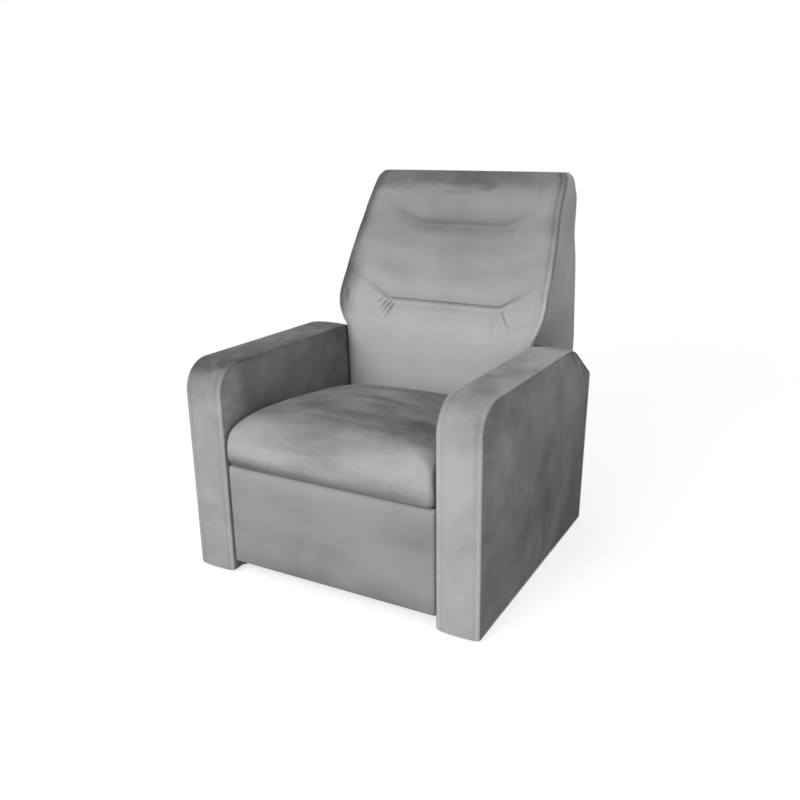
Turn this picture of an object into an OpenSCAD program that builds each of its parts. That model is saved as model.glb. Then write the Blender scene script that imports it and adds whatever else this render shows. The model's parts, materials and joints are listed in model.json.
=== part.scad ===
// Push-back recliner with two upholstered arms and a fold-out footrest.
// The sitter faces -Y, the sitter's left arm is at +X, and the floor is at Z = 0.
// Side views are drawn as [s, z]: s runs backwards from the front plane of the arms.

/* [Overall] */
// Width over both arms
overall_w = 800; // [760:5:860]
// Depth from the seat cushion's front to the rear of the back
overall_d = 900; // [880:5:960]
// Height of the top of the back
overall_h = 965; // [930:5:1000]

/* [Arms] */
// Width of one arm
arm_w = 112; // [104:1:130]
// How far the back reaches behind the arms' feet
rear_overhang = 176; // [140:2:190]
// How far the arm's rear top corner lies behind its foot
arm_rear_lean = 17; // [0:1:30]
// Height of the arm's top at the front
arm_top_h = 562; // [545:1:590]
// Height of the arm's top where it starts to slope down
arm_bend_h = 530; // [510:1:560]
// Height of the arm's rear top corner
arm_rear_h = 458; // [440:1:480]
// Radius of the arm's front top corner
arm_front_r = 62; // [40:1:80]
// Rise of the padded band from the side seams to the middle of the arm
arm_crown = 11; // [4:1:18]
// Width of the soft edge beside each side panel
arm_edge = 6; // [2:1:10]

/* [Seat] */
// Height of the seam between the seat cushion and the footrest panel
seam_h = 303; // [296:1:312]
// Height of the seat cushion at its sides, near the front
seat_side_h = 412; // [400:1:430]
// Fall of the seat cushion's side line from the front to the back
seat_fall = 55; // [20:1:70]
// Rise of the cushion's middle above its sides
seat_crown = 26; // [10:1:34]
// Gap between the seat cushion and each arm
seat_side_gap = 2; // [1:0.5:4]
// Bulge of the cushion's front beyond the arms
seat_proud = 6; // [3:0.5:10]
// Distance from the seat cushion's rear end to the arms' rear
seat_rear_gap = 154; // [150:1:170]

/* [Back] */
// Gap between the back and each arm
back_side_gap = 4; // [2:0.5:10]
// How far the back's sides stand out over the arms
back_wing_reach = 25; // [12:1:40]
// Depth of each sewn channel
channel_depth = 14; // [6:1:20]
// Height of the lower channel's middle above the level where the back widens
channel_low_rise = 84; // [70:1:110]
// Distance from the top of the back down to the upper channel's middle
channel_high_drop = 149; // [120:1:170]
// Fullness of each tier of the back between two channels
tier_bulge = 12; // [6:1:18]
// Thickness of the front cushion in the middle
back_pad_t = 46; // [36:1:60]

/* [Footrest] */
// Height of the footrest panel
panel_h = 257; // [240:1:260]
// Thickness of the footrest panel with its padding
panel_t = 45; // [40:1:50]
// Thickness of the footrest board
board_t = 12; // [9:1:16]
// Distance that the opened footrest's near edge stands in front of the arms
footrest_reach = 150; // [135:1:155]
// Rise of the footrest's top edge when it is opened
footrest_rise = 48; // [40:1:56]
// Turn of the footrest from closed to open, in degrees
footrest_angle = 86; // [82:1:88]

/* [Mechanism] */
// Thickness of a link
link_t = 3; // [2.5:0.5:3]
// Width of a footrest link
link_w = 22; // [20:1:23]
// Gap between neighbouring link planes
link_gap = 3; // [3:0.5:3.5]
// Radius of a pivot pin
pin_r = 4; // [3.5:0.5:4.5]
// Radial clearance of a pin in its hole
pin_play = 0.05; // [0.03:0.01:0.08]
// Length of a swing link between its pivots
swing_len = 90; // [84:1:96]
// Travel of the seat when the chair reclines
seat_travel = 60; // [50:1:62]
// Recline of the back, in degrees
recline_angle = 30; // [26:1:32]
// Diameter of the torque tube
tube_d = 20; // [16:1:24]

/* [Hidden] */

// Clearances and overruns
touch_gap = 0.3;
cut_over = 1;
axial_play = 0.15;
hole_play = 0.2;
round_fn = 48;
small_fn = 32;

// Arms
arm_in = overall_w / 2 - arm_w;
arm_out = overall_w / 2;
arm_d = overall_d - seat_proud - rear_overhang;
seat_rear_s = arm_d - seat_rear_gap;
arm_front_y = seat_proud - overall_d / 2;
glide_h = 5;
glide_r = 15;
glide_inset = 45;
board_thick = 12;
outer_pad_t = 12;
arm_pad_t = 30;
arm_bend_share = 0.75;
arm_low_board_h = 292;
arm_upright_w = 126;
arm_upright_h = 442;
arm_rail = 46;
arm_rows_shares = [-1, -0.975, -0.9, -0.7, -0.35, 0, 0.35, 0.7, 0.9, 0.975, 1];
arm_soft_share = 0.86;

// Link planes, counted inwards from the base plate on the arm
plate_t = 3;
base_out = arm_in;
base_in = base_out - plate_t;
plane_pitch = link_t + link_gap;
seat_plate_inset = 25;
seat_plate_out = arm_in - seat_plate_inset;
seat_plate_in = seat_plate_out - link_t;
plane1_in = seat_plate_in - plane_pitch;
plane2_in = plane1_in - plane_pitch;
plane3_in = plane2_in - plane_pitch;
swing_inset = 18;
swing_in = arm_in - swing_inset;
bracket_t = 4;
bracket_inset = 20;
bracket_in = arm_in - bracket_inset;
head_r = 7.5;
head_t = 2;
big_pin_r = 5;
big_head_r = 9;

// Swing links and the recline pivot
swing_w = 24;
swing_lean = asin(seat_travel / 2 / swing_len);
swing_drop = 67;
swing_top_z = seam_h - swing_drop;
swing_rear_inset = 16;
swing_rear_s = seat_rear_s - swing_rear_inset;
swing_front_s = 252;
recline_inset = 59;
recline_rise = 97;
recline_s = arm_d - recline_inset;
recline_z = seam_h + recline_rise;
recline_pin_r = 6;
recline_head_r = 10;
slot_arm = seat_travel / sin(recline_angle);
slot_play = 1.3;
slot_reach = 24;
slot_dip = 3;
slot_step = 0.15;
shank_share = 0.88;
base_plate_w = 56;
base_pin_z = swing_top_z - swing_len * cos(swing_lean);
bolt_r = 4;
bolt_head_r = 7;
bolt_head_t = 5;

// Footrest linkage: each pair of links turns alike, so the panel turns about one fixed point
panel_drop = 6;
panel_top_z = seam_h - panel_drop;
turn_back = [cos(footrest_angle) - 1, -sin(footrest_angle)];
panel_move = [-footrest_reach, footrest_rise];
turn_size = turn_back * turn_back;
panel_arm = [(panel_move * turn_back) / turn_size,
    (panel_move[1] * turn_back[0] - panel_move[0] * turn_back[1]) / turn_size];
panel_centre = [0, panel_top_z] - panel_arm;
main_pivot_s = 98;
main_pivot_drop = 33;
long_pivot_s = 76;
long_pivot_drop = 35;
main_pivot = [main_pivot_s, seam_h - main_pivot_drop];
long_pivot = [long_pivot_s, seam_h - long_pivot_drop];
main_arm = long_pivot - panel_centre;
main_arm_len = norm(main_arm);
main_joint = main_pivot + main_arm;
tail_len = 52;
tail_angle = 22;
tail_arm = turned(main_arm, -tail_angle) * tail_len / main_arm_len;
guide_joint = main_joint + tail_arm;
guide_pivot = long_pivot + tail_arm;
rear_offset = 56;
rear_offset_angle = 16;
rear_pivot = main_pivot + rear_offset * [cos(rear_offset_angle), -sin(rear_offset_angle)];
rear_joint = rear_pivot + main_arm;
tube_place = 72;
tube_centre = rear_pivot + main_arm * tube_place / main_arm_len;

// Seat frame
rail_w = 22;
rail_rise = 15;
rail_h = 52;
rail_top = seam_h + rail_rise;
rail_bottom = rail_top - rail_h;
front_board_s = 10;
front_board_d = 100;
front_board_t = 15;
rear_board_t = 25;
rear_board_gap = 4;
strap_w = 48;
strap_t = 2;
strap_count = 5;
strap_gap = 0.2;
screw_r = 2.5;
screw_head_r = 5;
screw_head_t = 2;
screw_len = 14;

// Back
gable_t = 18;
packer_t = 14;
gable_out = bracket_in - packer_t;
gable_margin = 8;
gable_levels_shares = [0.345, 0.4, 0.5, 0.6, 0.638, 0.74, 0.846, 0.92];
packer_rise = 80;
packer_drop = 22;
packer_lead = 27;
packer_d = 96;
bracket_w = 34;
bracket_reach = 46;
bracket_rise = 56;
rail_margin = 14;
narrow_inset = 38;
narrow_half = arm_in - narrow_inset;
back_low_half = arm_in - back_side_gap;
back_wide_half = arm_in + back_wing_reach;
narrow_share = 0.358;
wing_share = 0.551;
wing_rise = 2;
wing_z = arm_bend_h + wing_rise;
channel_low_h = wing_z + channel_low_rise;
channel_high_h = overall_h - channel_high_drop;
seam_drop = 17;
shell_drop = 80;
drop_shares = [[0.37, 0], [0.551, 1], [0.72, 0]];
seat_end_share = 0.7855;
pad_foot_share = 0.311;
shell_foot_share = 0.3295;
shell_gap = 3;
shell_pocket_r = 15;
shell_pocket_t = 6.2;
rear_inset = 14;
back_rail_w = 24;
back_rail_h = 50;
back_soft_r = 26;
rear_reach = overall_d - seat_proud;

// Side view of the back, as shares of the overall height (z) and of the arm's depth (s)
centre_line_shares = [[0.311, 0.801], [0.365, 0.795], [0.425, 0.796], [0.54, 0.822], [0.638, 0.865],
    [0.846, 1.04], [0.94, 1.085], [0.98, 1.113], [1, 1.14]];
edge_line_shares = [[0.311, 0.799], [0.365, 0.794], [0.5, 0.786], [0.58, 0.772], [0.622, 0.764],
    [0.65, 0.768], [0.679, 0.793], [0.736, 0.866], [0.803, 0.929], [0.886, 1.005], [0.97, 1.07], [1, 1.1]];
seam_line_shares = [[0.311, 0.845], [0.5, 0.853], [0.575, 0.872], [0.6, 0.89], [0.63, 0.905],
    [0.7, 0.918], [0.79, 0.965], [0.86, 1.01], [0.94, 1.075], [0.985, 1.11], [1, 1.126]];
// The rear line as shares of the overall height (z) and of the back's reach behind the arms' front (s)
rear_line_shares = [[0.311, 0.96], [0.45, 1], [0.61, 0.985], [0.83, 0.967], [0.94, 0.97],
    [0.97, 0.967], [0.985, 0.958], [1, 0.941]];
pad_t_shares = [[0.9, 1], [0.96, 0.7], [0.985, 0.4], [1, 0.12]];
half_width_shares = [[0.551, 0], [0.56, 0.35], [0.6, 0.85], [0.64, 1], [0.72, 1], [0.82, 0.82],
    [0.9, 0.5], [0.96, 0.2], [0.985, -0.3], [1, -0.75]];
channel_rise_shares = [[0.45, 0], [0.638, 1], [0.74, 0.75], [0.846, 0.3], [0.95, 0]];
channel_rise = 55;
channel_width_share = 0.62;
bow_share = 3.2;
pad_soft = 9;
back_levels_shares = [0.311, 0.34, 0.357, 0.359, 0.4, 0.46, 0.51, 0.55, 0.575, 0.6, 0.62, 0.63, 0.638, 0.646,
    0.656, 0.672, 0.7, 0.74, 0.78, 0.812, 0.832, 0.846, 0.86, 0.88, 0.91, 0.94, 0.965, 0.985, 1];
shell_levels_shares = [0.357, 0.359, 0.4, 0.46, 0.51, 0.55, 0.552, 0.575, 0.6, 0.62, 0.63, 0.638,
    0.646, 0.656, 0.672, 0.7, 0.74, 0.78, 0.812, 0.832, 0.846, 0.86, 0.88, 0.91, 0.94, 0.965, 0.985, 1];
back_columns = 14;

// Footrest panel
tube_wall = 2;
flange_w = 30;
panel_side_gap = 4;
board_inset = 6;
panel_ring_n = 44;
panel_square_share = 14;
panel_levels_shares = [[0.999, 0.012], [0.94, 0], [0.3, 0], [0.14, 0.006], [0.05, 0.02], [0.01, 0.05],
    [-0.02, 0.14], [-0.045, 0.3]];

// Colours
velvet = "#9c9c9c";
velvet_dark = "#6b6b6b";
steel = "#5d6266";
zinc = "#b9bdc0";
pine = "#d8b98a";
ply = "#c9a877";
black_strap = "#2d2d2f";
nylon = "#1e1e20";

// Turns a [s, z] vector
function turned(v, a) = [v[0] * cos(a) - v[1] * sin(a), v[0] * sin(a) + v[1] * cos(a)];
function mix(a, b, t) = a + (b - a) * t;
function flat(lists) = [for (l = lists) each l];

// Draws children given in [s, z] as a plate between two X places
module slab(x_in, x_out) {
    translate([x_in, arm_front_y, 0]) rotate([90, 0, 90]) linear_extrude(x_out - x_in) children();
}

// Draws a shaft along X at a place given in [s, z]
module shaft(at, r, x_in, x_out, fn = small_fn) {
    translate([x_in, arm_front_y + at[0], at[1]]) rotate([0, 90, 0]) cylinder(r = r, h = x_out - x_in, $fn = fn);
}

// A bar between two places, with round eyes a little wider than its shank
module bar(a, b, w) {
    d = b - a;
    shank = w * shank_share;
    translate(a) circle(d = w, $fn = round_fn);
    translate(b) circle(d = w, $fn = round_fn);
    translate(a) rotate(atan2(d[1], d[0])) translate([0, -shank / 2]) square([norm(d), shank]);
}

module hole(at, r) {
    translate(at) circle(r = r, $fn = small_fn);
}

module both_sides() {
    children();
    mirror([1, 0, 0]) children();
}

// A pin with a collar between two plates and a head outside each of them
module pivot_pin(at, r, far_in, far_out, near_in, near_out, flange_r) {
    shaft(at, r, far_in - axial_play - head_t, near_out + axial_play + head_t);
    shaft(at, flange_r, far_in - axial_play - head_t, far_in - axial_play);
    shaft(at, flange_r, far_out + axial_play, near_in - axial_play);
    shaft(at, flange_r, near_out + axial_play, near_out + axial_play + head_t);
}

// Joins rings of points into one closed surface, with a fan at each end
function middle(ring) = [for (k = [0:2]) [for (p = ring) p[k]] * [for (p = ring) 1] / len(ring)];

module loft(rings) {
    n = len(rings[0]);
    m = len(rings);
    points = concat(flat(rings), [middle(rings[0]), middle(rings[m - 1])]);
    sides = [for (j = [0:m - 2], i = [0:n - 1]) let (a = j * n + i, b = j * n + (i + 1) % n)
        each [[a, b, b + n], [a, b + n, a + n]]];
    ends = [for (i = [0:n - 1]) each [[(i + 1) % n, i, m * n],
        [(m - 1) * n + i, (m - 1) * n + (i + 1) % n, m * n + 1]]];
    polyhedron(points = points, faces = concat(sides, ends), convexity = 6);
}

// Points of a fillet at corner b of the outline a, b, c
function fillet(a, b, c, r, steps) = let (
    u = (a - b) / norm(a - b), v = (c - b) / norm(c - b),
    half = acos(u * v) / 2, reach = r / tan(half),
    centre = b + (u + v) / norm(u + v) * r / sin(half),
    p = b + u * reach - centre, q = b + v * reach - centre,
    sweep = acos(p * q / (norm(p) * norm(q))),
    way = p[0] * q[1] - p[1] * q[0] > 0 ? 1 : -1)
    [for (i = [0:steps]) centre + turned(p, way * sweep * i / steps)];

// Side outline of an arm, from the front of its foot over the top to the rear of its foot
arm_bend_s = arm_bend_share * arm_d;
arm_rear_r = 22;
arm_bend_r = 160;
arm_outline = concat([[0, glide_h], [0, arm_top_h / 2]],
    fillet([0, glide_h], [0, arm_top_h], [arm_bend_s, arm_bend_h], arm_front_r, 7),
    fillet([0, arm_top_h], [arm_bend_s, arm_bend_h], [arm_d + arm_rear_lean, arm_rear_h], arm_bend_r, 3),
    fillet([arm_bend_s, arm_bend_h], [arm_d + arm_rear_lean, arm_rear_h], [arm_d, glide_h], arm_rear_r, 3),
    [[arm_d, glide_h]]);

// The same outline moved inwards, with its foot kept on one level
function arm_inset(d) = let (n = len(arm_outline)) [for (i = [0:n - 1]) let (
    p = arm_outline[i], before = i == 0 ? p : arm_outline[i - 1], after = i == n - 1 ? p : arm_outline[i + 1],
    t = (after - before) / norm(after - before)) [p[0] + t[1] * d, i == 0 || i == n - 1 ? p[1] : p[1] - t[0] * d]];

function arm_drop(u) = arm_crown * pow(abs(u), 2.4)
    + arm_edge * pow(max(0, (abs(u) - arm_soft_share) / (1 - arm_soft_share)), 2);

module arm_form() {
    middle = arm_in + arm_w / 2;
    loft([for (u = arm_rows_shares) [for (p = arm_inset(arm_drop(u)))
        [middle - u * arm_w / 2, arm_front_y + p[0], p[1]]]]);
}

// The space inside an arm's padding, open at the foot
module arm_core(grow) {
    offset(delta = grow - arm_pad_t) polygon(concat([[0, -2 * arm_pad_t]],
        [for (p = arm_outline) if (p[1] > glide_h) p], [[arm_d, -2 * arm_pad_t]]));
}

module above_foot() {
    intersection() {
        children();
        translate([0, glide_h]) square([arm_d + arm_rear_lean, arm_top_h]);
    }
}

// The inner side of an arm is bare wood here, where the steel plates are fastened
module bare_zone(grow) {
    translate([arm_rail, 0]) square([arm_d - arm_rail + cut_over, arm_low_board_h + grow]);
    translate([arm_d - arm_upright_w - grow, 0])
        square([arm_upright_w + grow + cut_over, arm_upright_h + grow]);
}

module arm_cover() {
    color(velvet) difference() {
        arm_form();
        slab(arm_in + board_thick, arm_out - outer_pad_t) arm_core(0);
        slab(arm_in - cut_over, arm_in + board_thick + cut_over) intersection() {
            bare_zone(touch_gap);
            square([arm_d - outer_pad_t, arm_top_h]);
        }
    }
}

module arm_outer_board() {
    color(ply) slab(arm_out - outer_pad_t - board_thick, arm_out - outer_pad_t - touch_gap)
        above_foot() arm_core(-touch_gap);
}

module arm_inner_board() {
    color(ply) difference() {
        slab(arm_in, arm_in + board_thick) difference() {
            union() {
                translate([arm_rail, glide_h]) square([arm_d - arm_rail - outer_pad_t - touch_gap,
                    arm_low_board_h - glide_h]);
                translate([arm_d - arm_upright_w, glide_h])
                    square([arm_upright_w - outer_pad_t - touch_gap, arm_upright_h - glide_h]);
            }
            for (p = base_bolt_places) hole(p, bolt_r + hole_play);
        }
    }
}

// Posts and rails between the two boards of an arm
module arm_frame() {
    low = glide_h;
    x_in = arm_in + board_thick;
    x_out = arm_out - outer_pad_t - board_thick;
    front = arm_pad_t + touch_gap;
    rear = arm_d - arm_pad_t - touch_gap;
    color(pine) difference() {
        slab(x_in, x_out) difference() {
            above_foot() arm_core(-touch_gap);
            translate([front + arm_rail, low + arm_rail])
                square([rear - front - 2 * arm_rail, arm_rear_h - arm_pad_t - 2 * arm_rail - low]);
        }
        for (p = base_bolt_places) shaft(p, bolt_r + hole_play, x_in - cut_over, x_in + bolt_bite + cut_over);
    }
}

module floor_glides() {
    color(nylon) both_sides() for (s = [glide_inset, arm_d - glide_inset])
        translate([arm_in + arm_w / 2, arm_front_y + s, 0]) rotate_extrude($fn = round_fn)
            polygon([[0, 0], [glide_r - glide_h / 2, 0], [glide_r, glide_h / 2], [glide_r, glide_h], [0, glide_h]]);
}

// Cross rails between the arms
stretcher_t = 22;
front_stretcher_s = 302;
front_stretcher_z = 18;
front_stretcher_h = 60;
rear_stretcher_z = 22;
rear_stretcher_h = 96;
rear_stretcher_s = arm_d - outer_pad_t - touch_gap - stretcher_t;
block_size = 34;
block_h = 50;

module stretcher(s, z, h) {
    color(pine) translate([-arm_in, arm_front_y + s, z]) cube([2 * arm_in, stretcher_t, h]);
}
module front_stretcher() stretcher(front_stretcher_s, front_stretcher_z, front_stretcher_h);
module rear_stretcher() stretcher(rear_stretcher_s, rear_stretcher_z, rear_stretcher_h);

module corner_block(s, z, h, way) {
    translate([arm_in, arm_front_y + s, z]) linear_extrude(h)
        polygon([[0, 0], [-block_size, 0], [-block_size, way * block_size / 3], [-block_size / 3, way * block_size],
            [0, way * block_size]]);
}

module corner_blocks() {
    color(pine) both_sides() {
        corner_block(front_stretcher_s + stretcher_t, front_stretcher_z, block_h, 1);
        corner_block(rear_stretcher_s, rear_stretcher_z, block_h, -1);
    }
}

// Steel plates on the arms
base_front = [swing_front_s - seat_travel / 2, base_pin_z];
base_rear = [swing_rear_s - seat_travel / 2, base_pin_z];
recline_at = [recline_s, recline_z];
base_corner = [recline_s, base_pin_z];
bolt_bite = 28;
base_bolt_shares = [0.62, 0.72];
base_bolt_places = [base_front + [base_plate_w, 0],
    [mix(base_front[0], base_rear[0], base_bolt_shares[0]), base_pin_z],
    base_corner + [0, base_plate_w / 2],
    [recline_s, mix(base_pin_z, recline_z, base_bolt_shares[1])]];

module base_plate() {
    color(steel) slab(base_in, base_out) difference() {
        union() {
            bar(base_front, base_corner, base_plate_w);
            bar(base_corner, recline_at, base_plate_w);
        }
        hole(base_front, big_pin_r + pin_play);
        hole(base_rear, big_pin_r + pin_play);
        hole(recline_at, recline_pin_r + pin_play);
        for (p = base_bolt_places) hole(p, bolt_r + hole_play);
    }
}

module base_bolts() {
    color(zinc) both_sides() for (p = base_bolt_places) {
        shaft(p, bolt_r, base_in - axial_play, base_out + board_thick + bolt_bite);
        shaft(p, bolt_head_r, base_in - axial_play - bolt_head_t, base_in - axial_play, 6);
    }
}

// Pins that are welded to the base plates and end in a head inside the swing links
module swing_base_pins() {
    color(zinc) both_sides() for (p = [base_front, base_rear]) {
        shaft(p, big_pin_r, swing_in - axial_play - head_t, base_out);
        shaft(p, big_head_r, swing_in - axial_play - head_t, swing_in - axial_play);
        shaft(p, big_head_r, swing_in + link_t + axial_play, base_in - axial_play);
    }
}

module recline_pins() {
    color(zinc) both_sides() {
        shaft(recline_at, recline_pin_r, bracket_in - axial_play - head_t * 2, base_out);
        shaft(recline_at, recline_head_r, bracket_in - axial_play - head_t * 2, bracket_in - axial_play);
        shaft(recline_at, recline_head_r, bracket_in + bracket_t + axial_play, base_in - axial_play);
    }
}

swing_front_top = [swing_front_s, swing_top_z];
swing_rear_top = [swing_rear_s, swing_top_z];

module swing_link(low, high) {
    color(steel) slab(swing_in, swing_in + link_t) difference() {
        bar(low, high, swing_w);
        hole(low, big_pin_r + pin_play);
        hole(high, big_pin_r + pin_play);
    }
}

module rear_swing_link() swing_link(base_rear, swing_rear_top);
module front_swing_link() swing_link(base_front, swing_front_top);

// Seat plates carry the seat frame, the footrest links and the slots that the back's pins drive
slot_at = recline_at - [0, slot_arm];
plate_drop = 16;
plate_top = rail_top - plate_drop;
plate_front_r = 15;

module seat_plate() {
    slot_r = big_pin_r + slot_play;
    color(steel) slab(seat_plate_in, seat_plate_out) difference() {
        union() {
            bar(main_pivot, rear_pivot, 2 * plate_front_r);
            bar(rear_pivot, swing_front_top, 2 * plate_front_r);
            bar(swing_front_top, swing_rear_top, swing_w + link_w / 2);
            bar(swing_rear_top, slot_at, 2 * base_plate_w / 3);
            bar(slot_at - [0, slot_dip], slot_at + [0, slot_reach - slot_dip], 2 * base_plate_w / 3);
            translate([main_pivot[0], main_pivot[1]])
                square([swing_rear_s - main_pivot[0], plate_top - main_pivot[1]]);
            translate([swing_front_s, swing_top_z]) square([swing_rear_s - swing_front_s, plate_top - swing_top_z]);
        }
        hole(main_pivot, pin_r + pin_play);
        hole(rear_pivot, pin_r + pin_play);
        hole(swing_front_top, big_pin_r + pin_play);
        hole(swing_rear_top, big_pin_r + pin_play);
        for (p = plate_screw_places) hole(p, screw_r + hole_play);
        hole(slot_at - [0, slot_dip], slot_r);
        hole(slot_at + [0, slot_reach - slot_dip], slot_r);
        translate(slot_at - [slot_r - slot_step, slot_dip]) square([2 * (slot_r - slot_step), slot_reach]);
    }
}

plate_screw_rise = 16;
plate_screw_z = rail_bottom + plate_screw_rise;
plate_screw_shares = [0.12, 0.38, 0.64, 0.9];
plate_screw_places = [for (t = plate_screw_shares)
    [mix(front_board_s + front_board_d, seat_rear_s - rear_board_gap, t), plate_screw_z]];

module seat_plate_pins() {
    color(zinc) both_sides() {
        for (p = [main_pivot, rear_pivot])
            pivot_pin(p, pin_r, plane1_in, plane1_in + link_t, seat_plate_in, seat_plate_out, head_r);
        for (p = [swing_front_top, swing_rear_top])
            pivot_pin(p, big_pin_r, seat_plate_in, seat_plate_out, swing_in, swing_in + link_t, big_head_r);
    }
}

// Pan-head screws from inside each seat plate into the side rails
module seat_plate_screws() {
    color(zinc) both_sides() for (p = plate_screw_places) {
        shaft(p, screw_r, seat_plate_in - axial_play, seat_plate_out + screw_len);
        shaft(p, screw_head_r, seat_plate_in - axial_play - screw_head_t, seat_plate_in - axial_play);
    }
}

module seat_side_rail() {
    rear = seat_rear_s - rear_board_gap;
    color(pine) difference() {
        slab(seat_plate_out, seat_plate_out + rail_w) translate([front_board_s + front_board_d, rail_bottom])
            square([rear - front_board_s - front_board_d, rail_top - rail_bottom]);
        for (p = plate_screw_places)
            shaft(p, screw_r + hole_play, seat_plate_out - cut_over, seat_plate_out + screw_len + cut_over);
    }
}

module seat_front_board() {
    color(ply) translate([-seat_plate_out, arm_front_y + front_board_s, rail_top - front_board_t])
        cube([2 * seat_plate_out, front_board_d, front_board_t]);
}

module seat_rear_board() {
    half = seat_plate_in - touch_gap;
    color(pine) translate([-half, arm_front_y + seat_rear_s - rear_board_gap - rear_board_t, rail_bottom])
        cube([2 * half, rear_board_t, rail_top - rail_bottom]);
}

// Elastic straps: one layer across the side rails, one from front to rear above it
module seat_webbing() {
    half = seat_plate_out + rail_w;
    start = front_board_s;
    end = seat_rear_s - rear_board_gap;
    cross_start = front_board_s + front_board_d;
    color(black_strap) {
        for (i = [0:strap_count - 1]) {
            s = mix(cross_start + strap_w / 2, end - rear_board_t - strap_w, i / (strap_count - 1));
            translate([-half, arm_front_y + s - strap_w / 2, rail_top]) cube([2 * half, strap_w, strap_t]);
        }
        for (i = [0:strap_count - 1]) {
            x = mix(-half + strap_w, half - strap_w, i / (strap_count - 1));
            translate([x - strap_w / 2, arm_front_y + start, rail_top + strap_t + strap_gap])
                cube([strap_w, end - start, strap_t]);
        }
    }
}

// Seat cushion: rings stacked from the bottom seam to the crown
seat_half = arm_in - seat_side_gap;
seat_square_share = 14;
seat_ring_n = 56;
seat_levels_shares = [[0, 0.14], [0.04, 0.03], [0.12, 0], [0.3, 0], [0.5, 0], [0.7, 0], [0.84, 0.14],
    [0.93, 0.42], [0.98, 0.8], [1, 1.25]];
seat_soft = 34;
seat_inner_shares = [0.22, 0.36, 0.52, 0.7, 0.88];
seat_line_shares = [[0, -0.42], [0.06, -0.06], [0.16, 0], [0.28, 0], [0.49, 0.27], [0.75, 0.6], [1, 1]];
seat_front_bow = 4;

function seat_side_line(s) = seat_side_h - seat_fall * lookup(s / seat_rear_s, seat_line_shares);
function oval(a, power) = [sign(cos(a)) * pow(abs(cos(a)), 2 / power), sign(sin(a)) * pow(abs(sin(a)), 2 / power)];

function seat_ring(height, inset, flatten) = let (
    depth = seat_rear_s + seat_proud, middle = depth / 2 - seat_proud)
    [for (i = [0:seat_ring_n - 1]) let (
        o = oval(i * 360 / seat_ring_n, seat_square_share),
        x = o[0] * (seat_half - inset),
        bow = o[1] < 0 ? seat_front_bow * (1 - pow(sin(180 * height), 0.5)) + seat_front_bow * pow(o[0], 6) / 2 : 0,
        s = middle + o[1] * (depth / 2 - inset) + bow * (flatten ? 0 : 1),
        rise = seat_crown * (1 - pow(x / seat_half, 2)) * (1 - pow((s - middle) / depth * 2, 4)),
        z = mix(seam_h, seat_side_line(s), height) + rise * pow(height, 6))
        [x, arm_front_y + s, z]];

module seat_cushion() {
    half = seat_plate_out + touch_gap;
    low = seam_h - cut_over;
    high = rail_top + 2 * strap_t + strap_gap + touch_gap;
    color(velvet_dark) difference() {
        loft(concat([for (l = seat_levels_shares) seat_ring(l[0], l[1] * seat_soft, false)],
            [for (f = seat_inner_shares) seat_ring(1, f * seat_half, true)]));
        translate([-half, arm_front_y + front_board_s - touch_gap, low])
            cube([2 * half, front_board_d + cut_over, high - low]);
        translate([-arm_in, arm_front_y + front_board_s + front_board_d - touch_gap, low])
            cube([2 * arm_in, seat_rear_s, high - low]);
    }
}

// Back: a front cushion with two sewn channels, and the wedge-shaped shell behind it
// Heights of the levels follow the arms up to where the back widens, and the back's top above that
function level_z(v) = v < wing_share ? v / wing_share * wing_z
    : mix(wing_z, overall_h, (v - wing_share) / (1 - wing_share));
function channel_at(z) = exp(-pow((z - channel_low_h) / channel_depth, 2))
    + exp(-pow((z - channel_high_h) / channel_depth, 2));
function tier_between(z, low, high) = pow(max(0, sin(180 * (z - low) / (high - low))), 0.8);
function tier_at(z) = z < channel_low_h ? tier_between(z, level_z(pad_foot_share), channel_low_h)
    : z < channel_high_h ? tier_between(z, channel_low_h, channel_high_h)
    : tier_between(z, channel_high_h, overall_h);
function channel_fade(a) = a < channel_width_share ? 1 : (1 - a) / (1 - channel_width_share);
function line_at(v, line) = seat_rear_s + (lookup(v, line) - seat_end_share) * arm_d;
function rear_at(v) = lookup(v, rear_line_shares) * rear_reach;
function pad_rear_at(v) = line_at(v, centre_line_shares) + back_pad_t * lookup(v, pad_t_shares);
function wing_half(v) = mix(back_low_half, back_wide_half, lookup(v, half_width_shares));
function pad_half(v) = v < narrow_share ? narrow_half : wing_half(v);
function shell_half(v) = v < narrow_share ? narrow_half
    : v < wing_share ? bracket_in - touch_gap : wing_half(v);

// Points of the back at level v: a runs from -1 at one side to 1 at the other
function pad_front(v, a) = let (
    z = level_z(v),
    centre = line_at(v, centre_line_shares) - tier_bulge * tier_at(z)
        + channel_depth * channel_at(z) * channel_fade(abs(a)),
    edge = line_at(v, edge_line_shares) + pad_soft * pow(abs(a), 24),
    lift = channel_rise * lookup(v, channel_rise_shares))
    [mix(centre, edge, pow(abs(a), bow_share)), z + lift * pow(abs(a), bow_share)];
function pad_rear(v, a) = [
    mix(pad_rear_at(v), line_at(v, seam_line_shares), pow(abs(a), bow_share)),
    level_z(v) - seam_drop * lookup(v, drop_shares)];
function shell_rear(v, a) = [rear_at(v) - back_soft_r * pow(abs(a), 12),
    level_z(v) - shell_drop * lookup(v, drop_shares)];
function back_point(p, x) = [x, arm_front_y + p[0], p[1]];

module back_cushion() {
    n = back_columns;
    color(velvet) loft([for (v = back_levels_shares) concat(
        [for (i = [0:n]) let (a = 2 * i / n - 1) back_point(pad_front(v, a), a * pad_half(v))],
        [for (i = [0:n]) let (a = 1 - 2 * i / n) back_point(pad_rear(v, a), a * pad_half(v))])]);
}

// The shell's front lies just behind the cushion's rear at every height and width
function shell_front(v, x) = pad_rear(v, x / pad_half(v)) + [shell_gap, 0];

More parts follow.
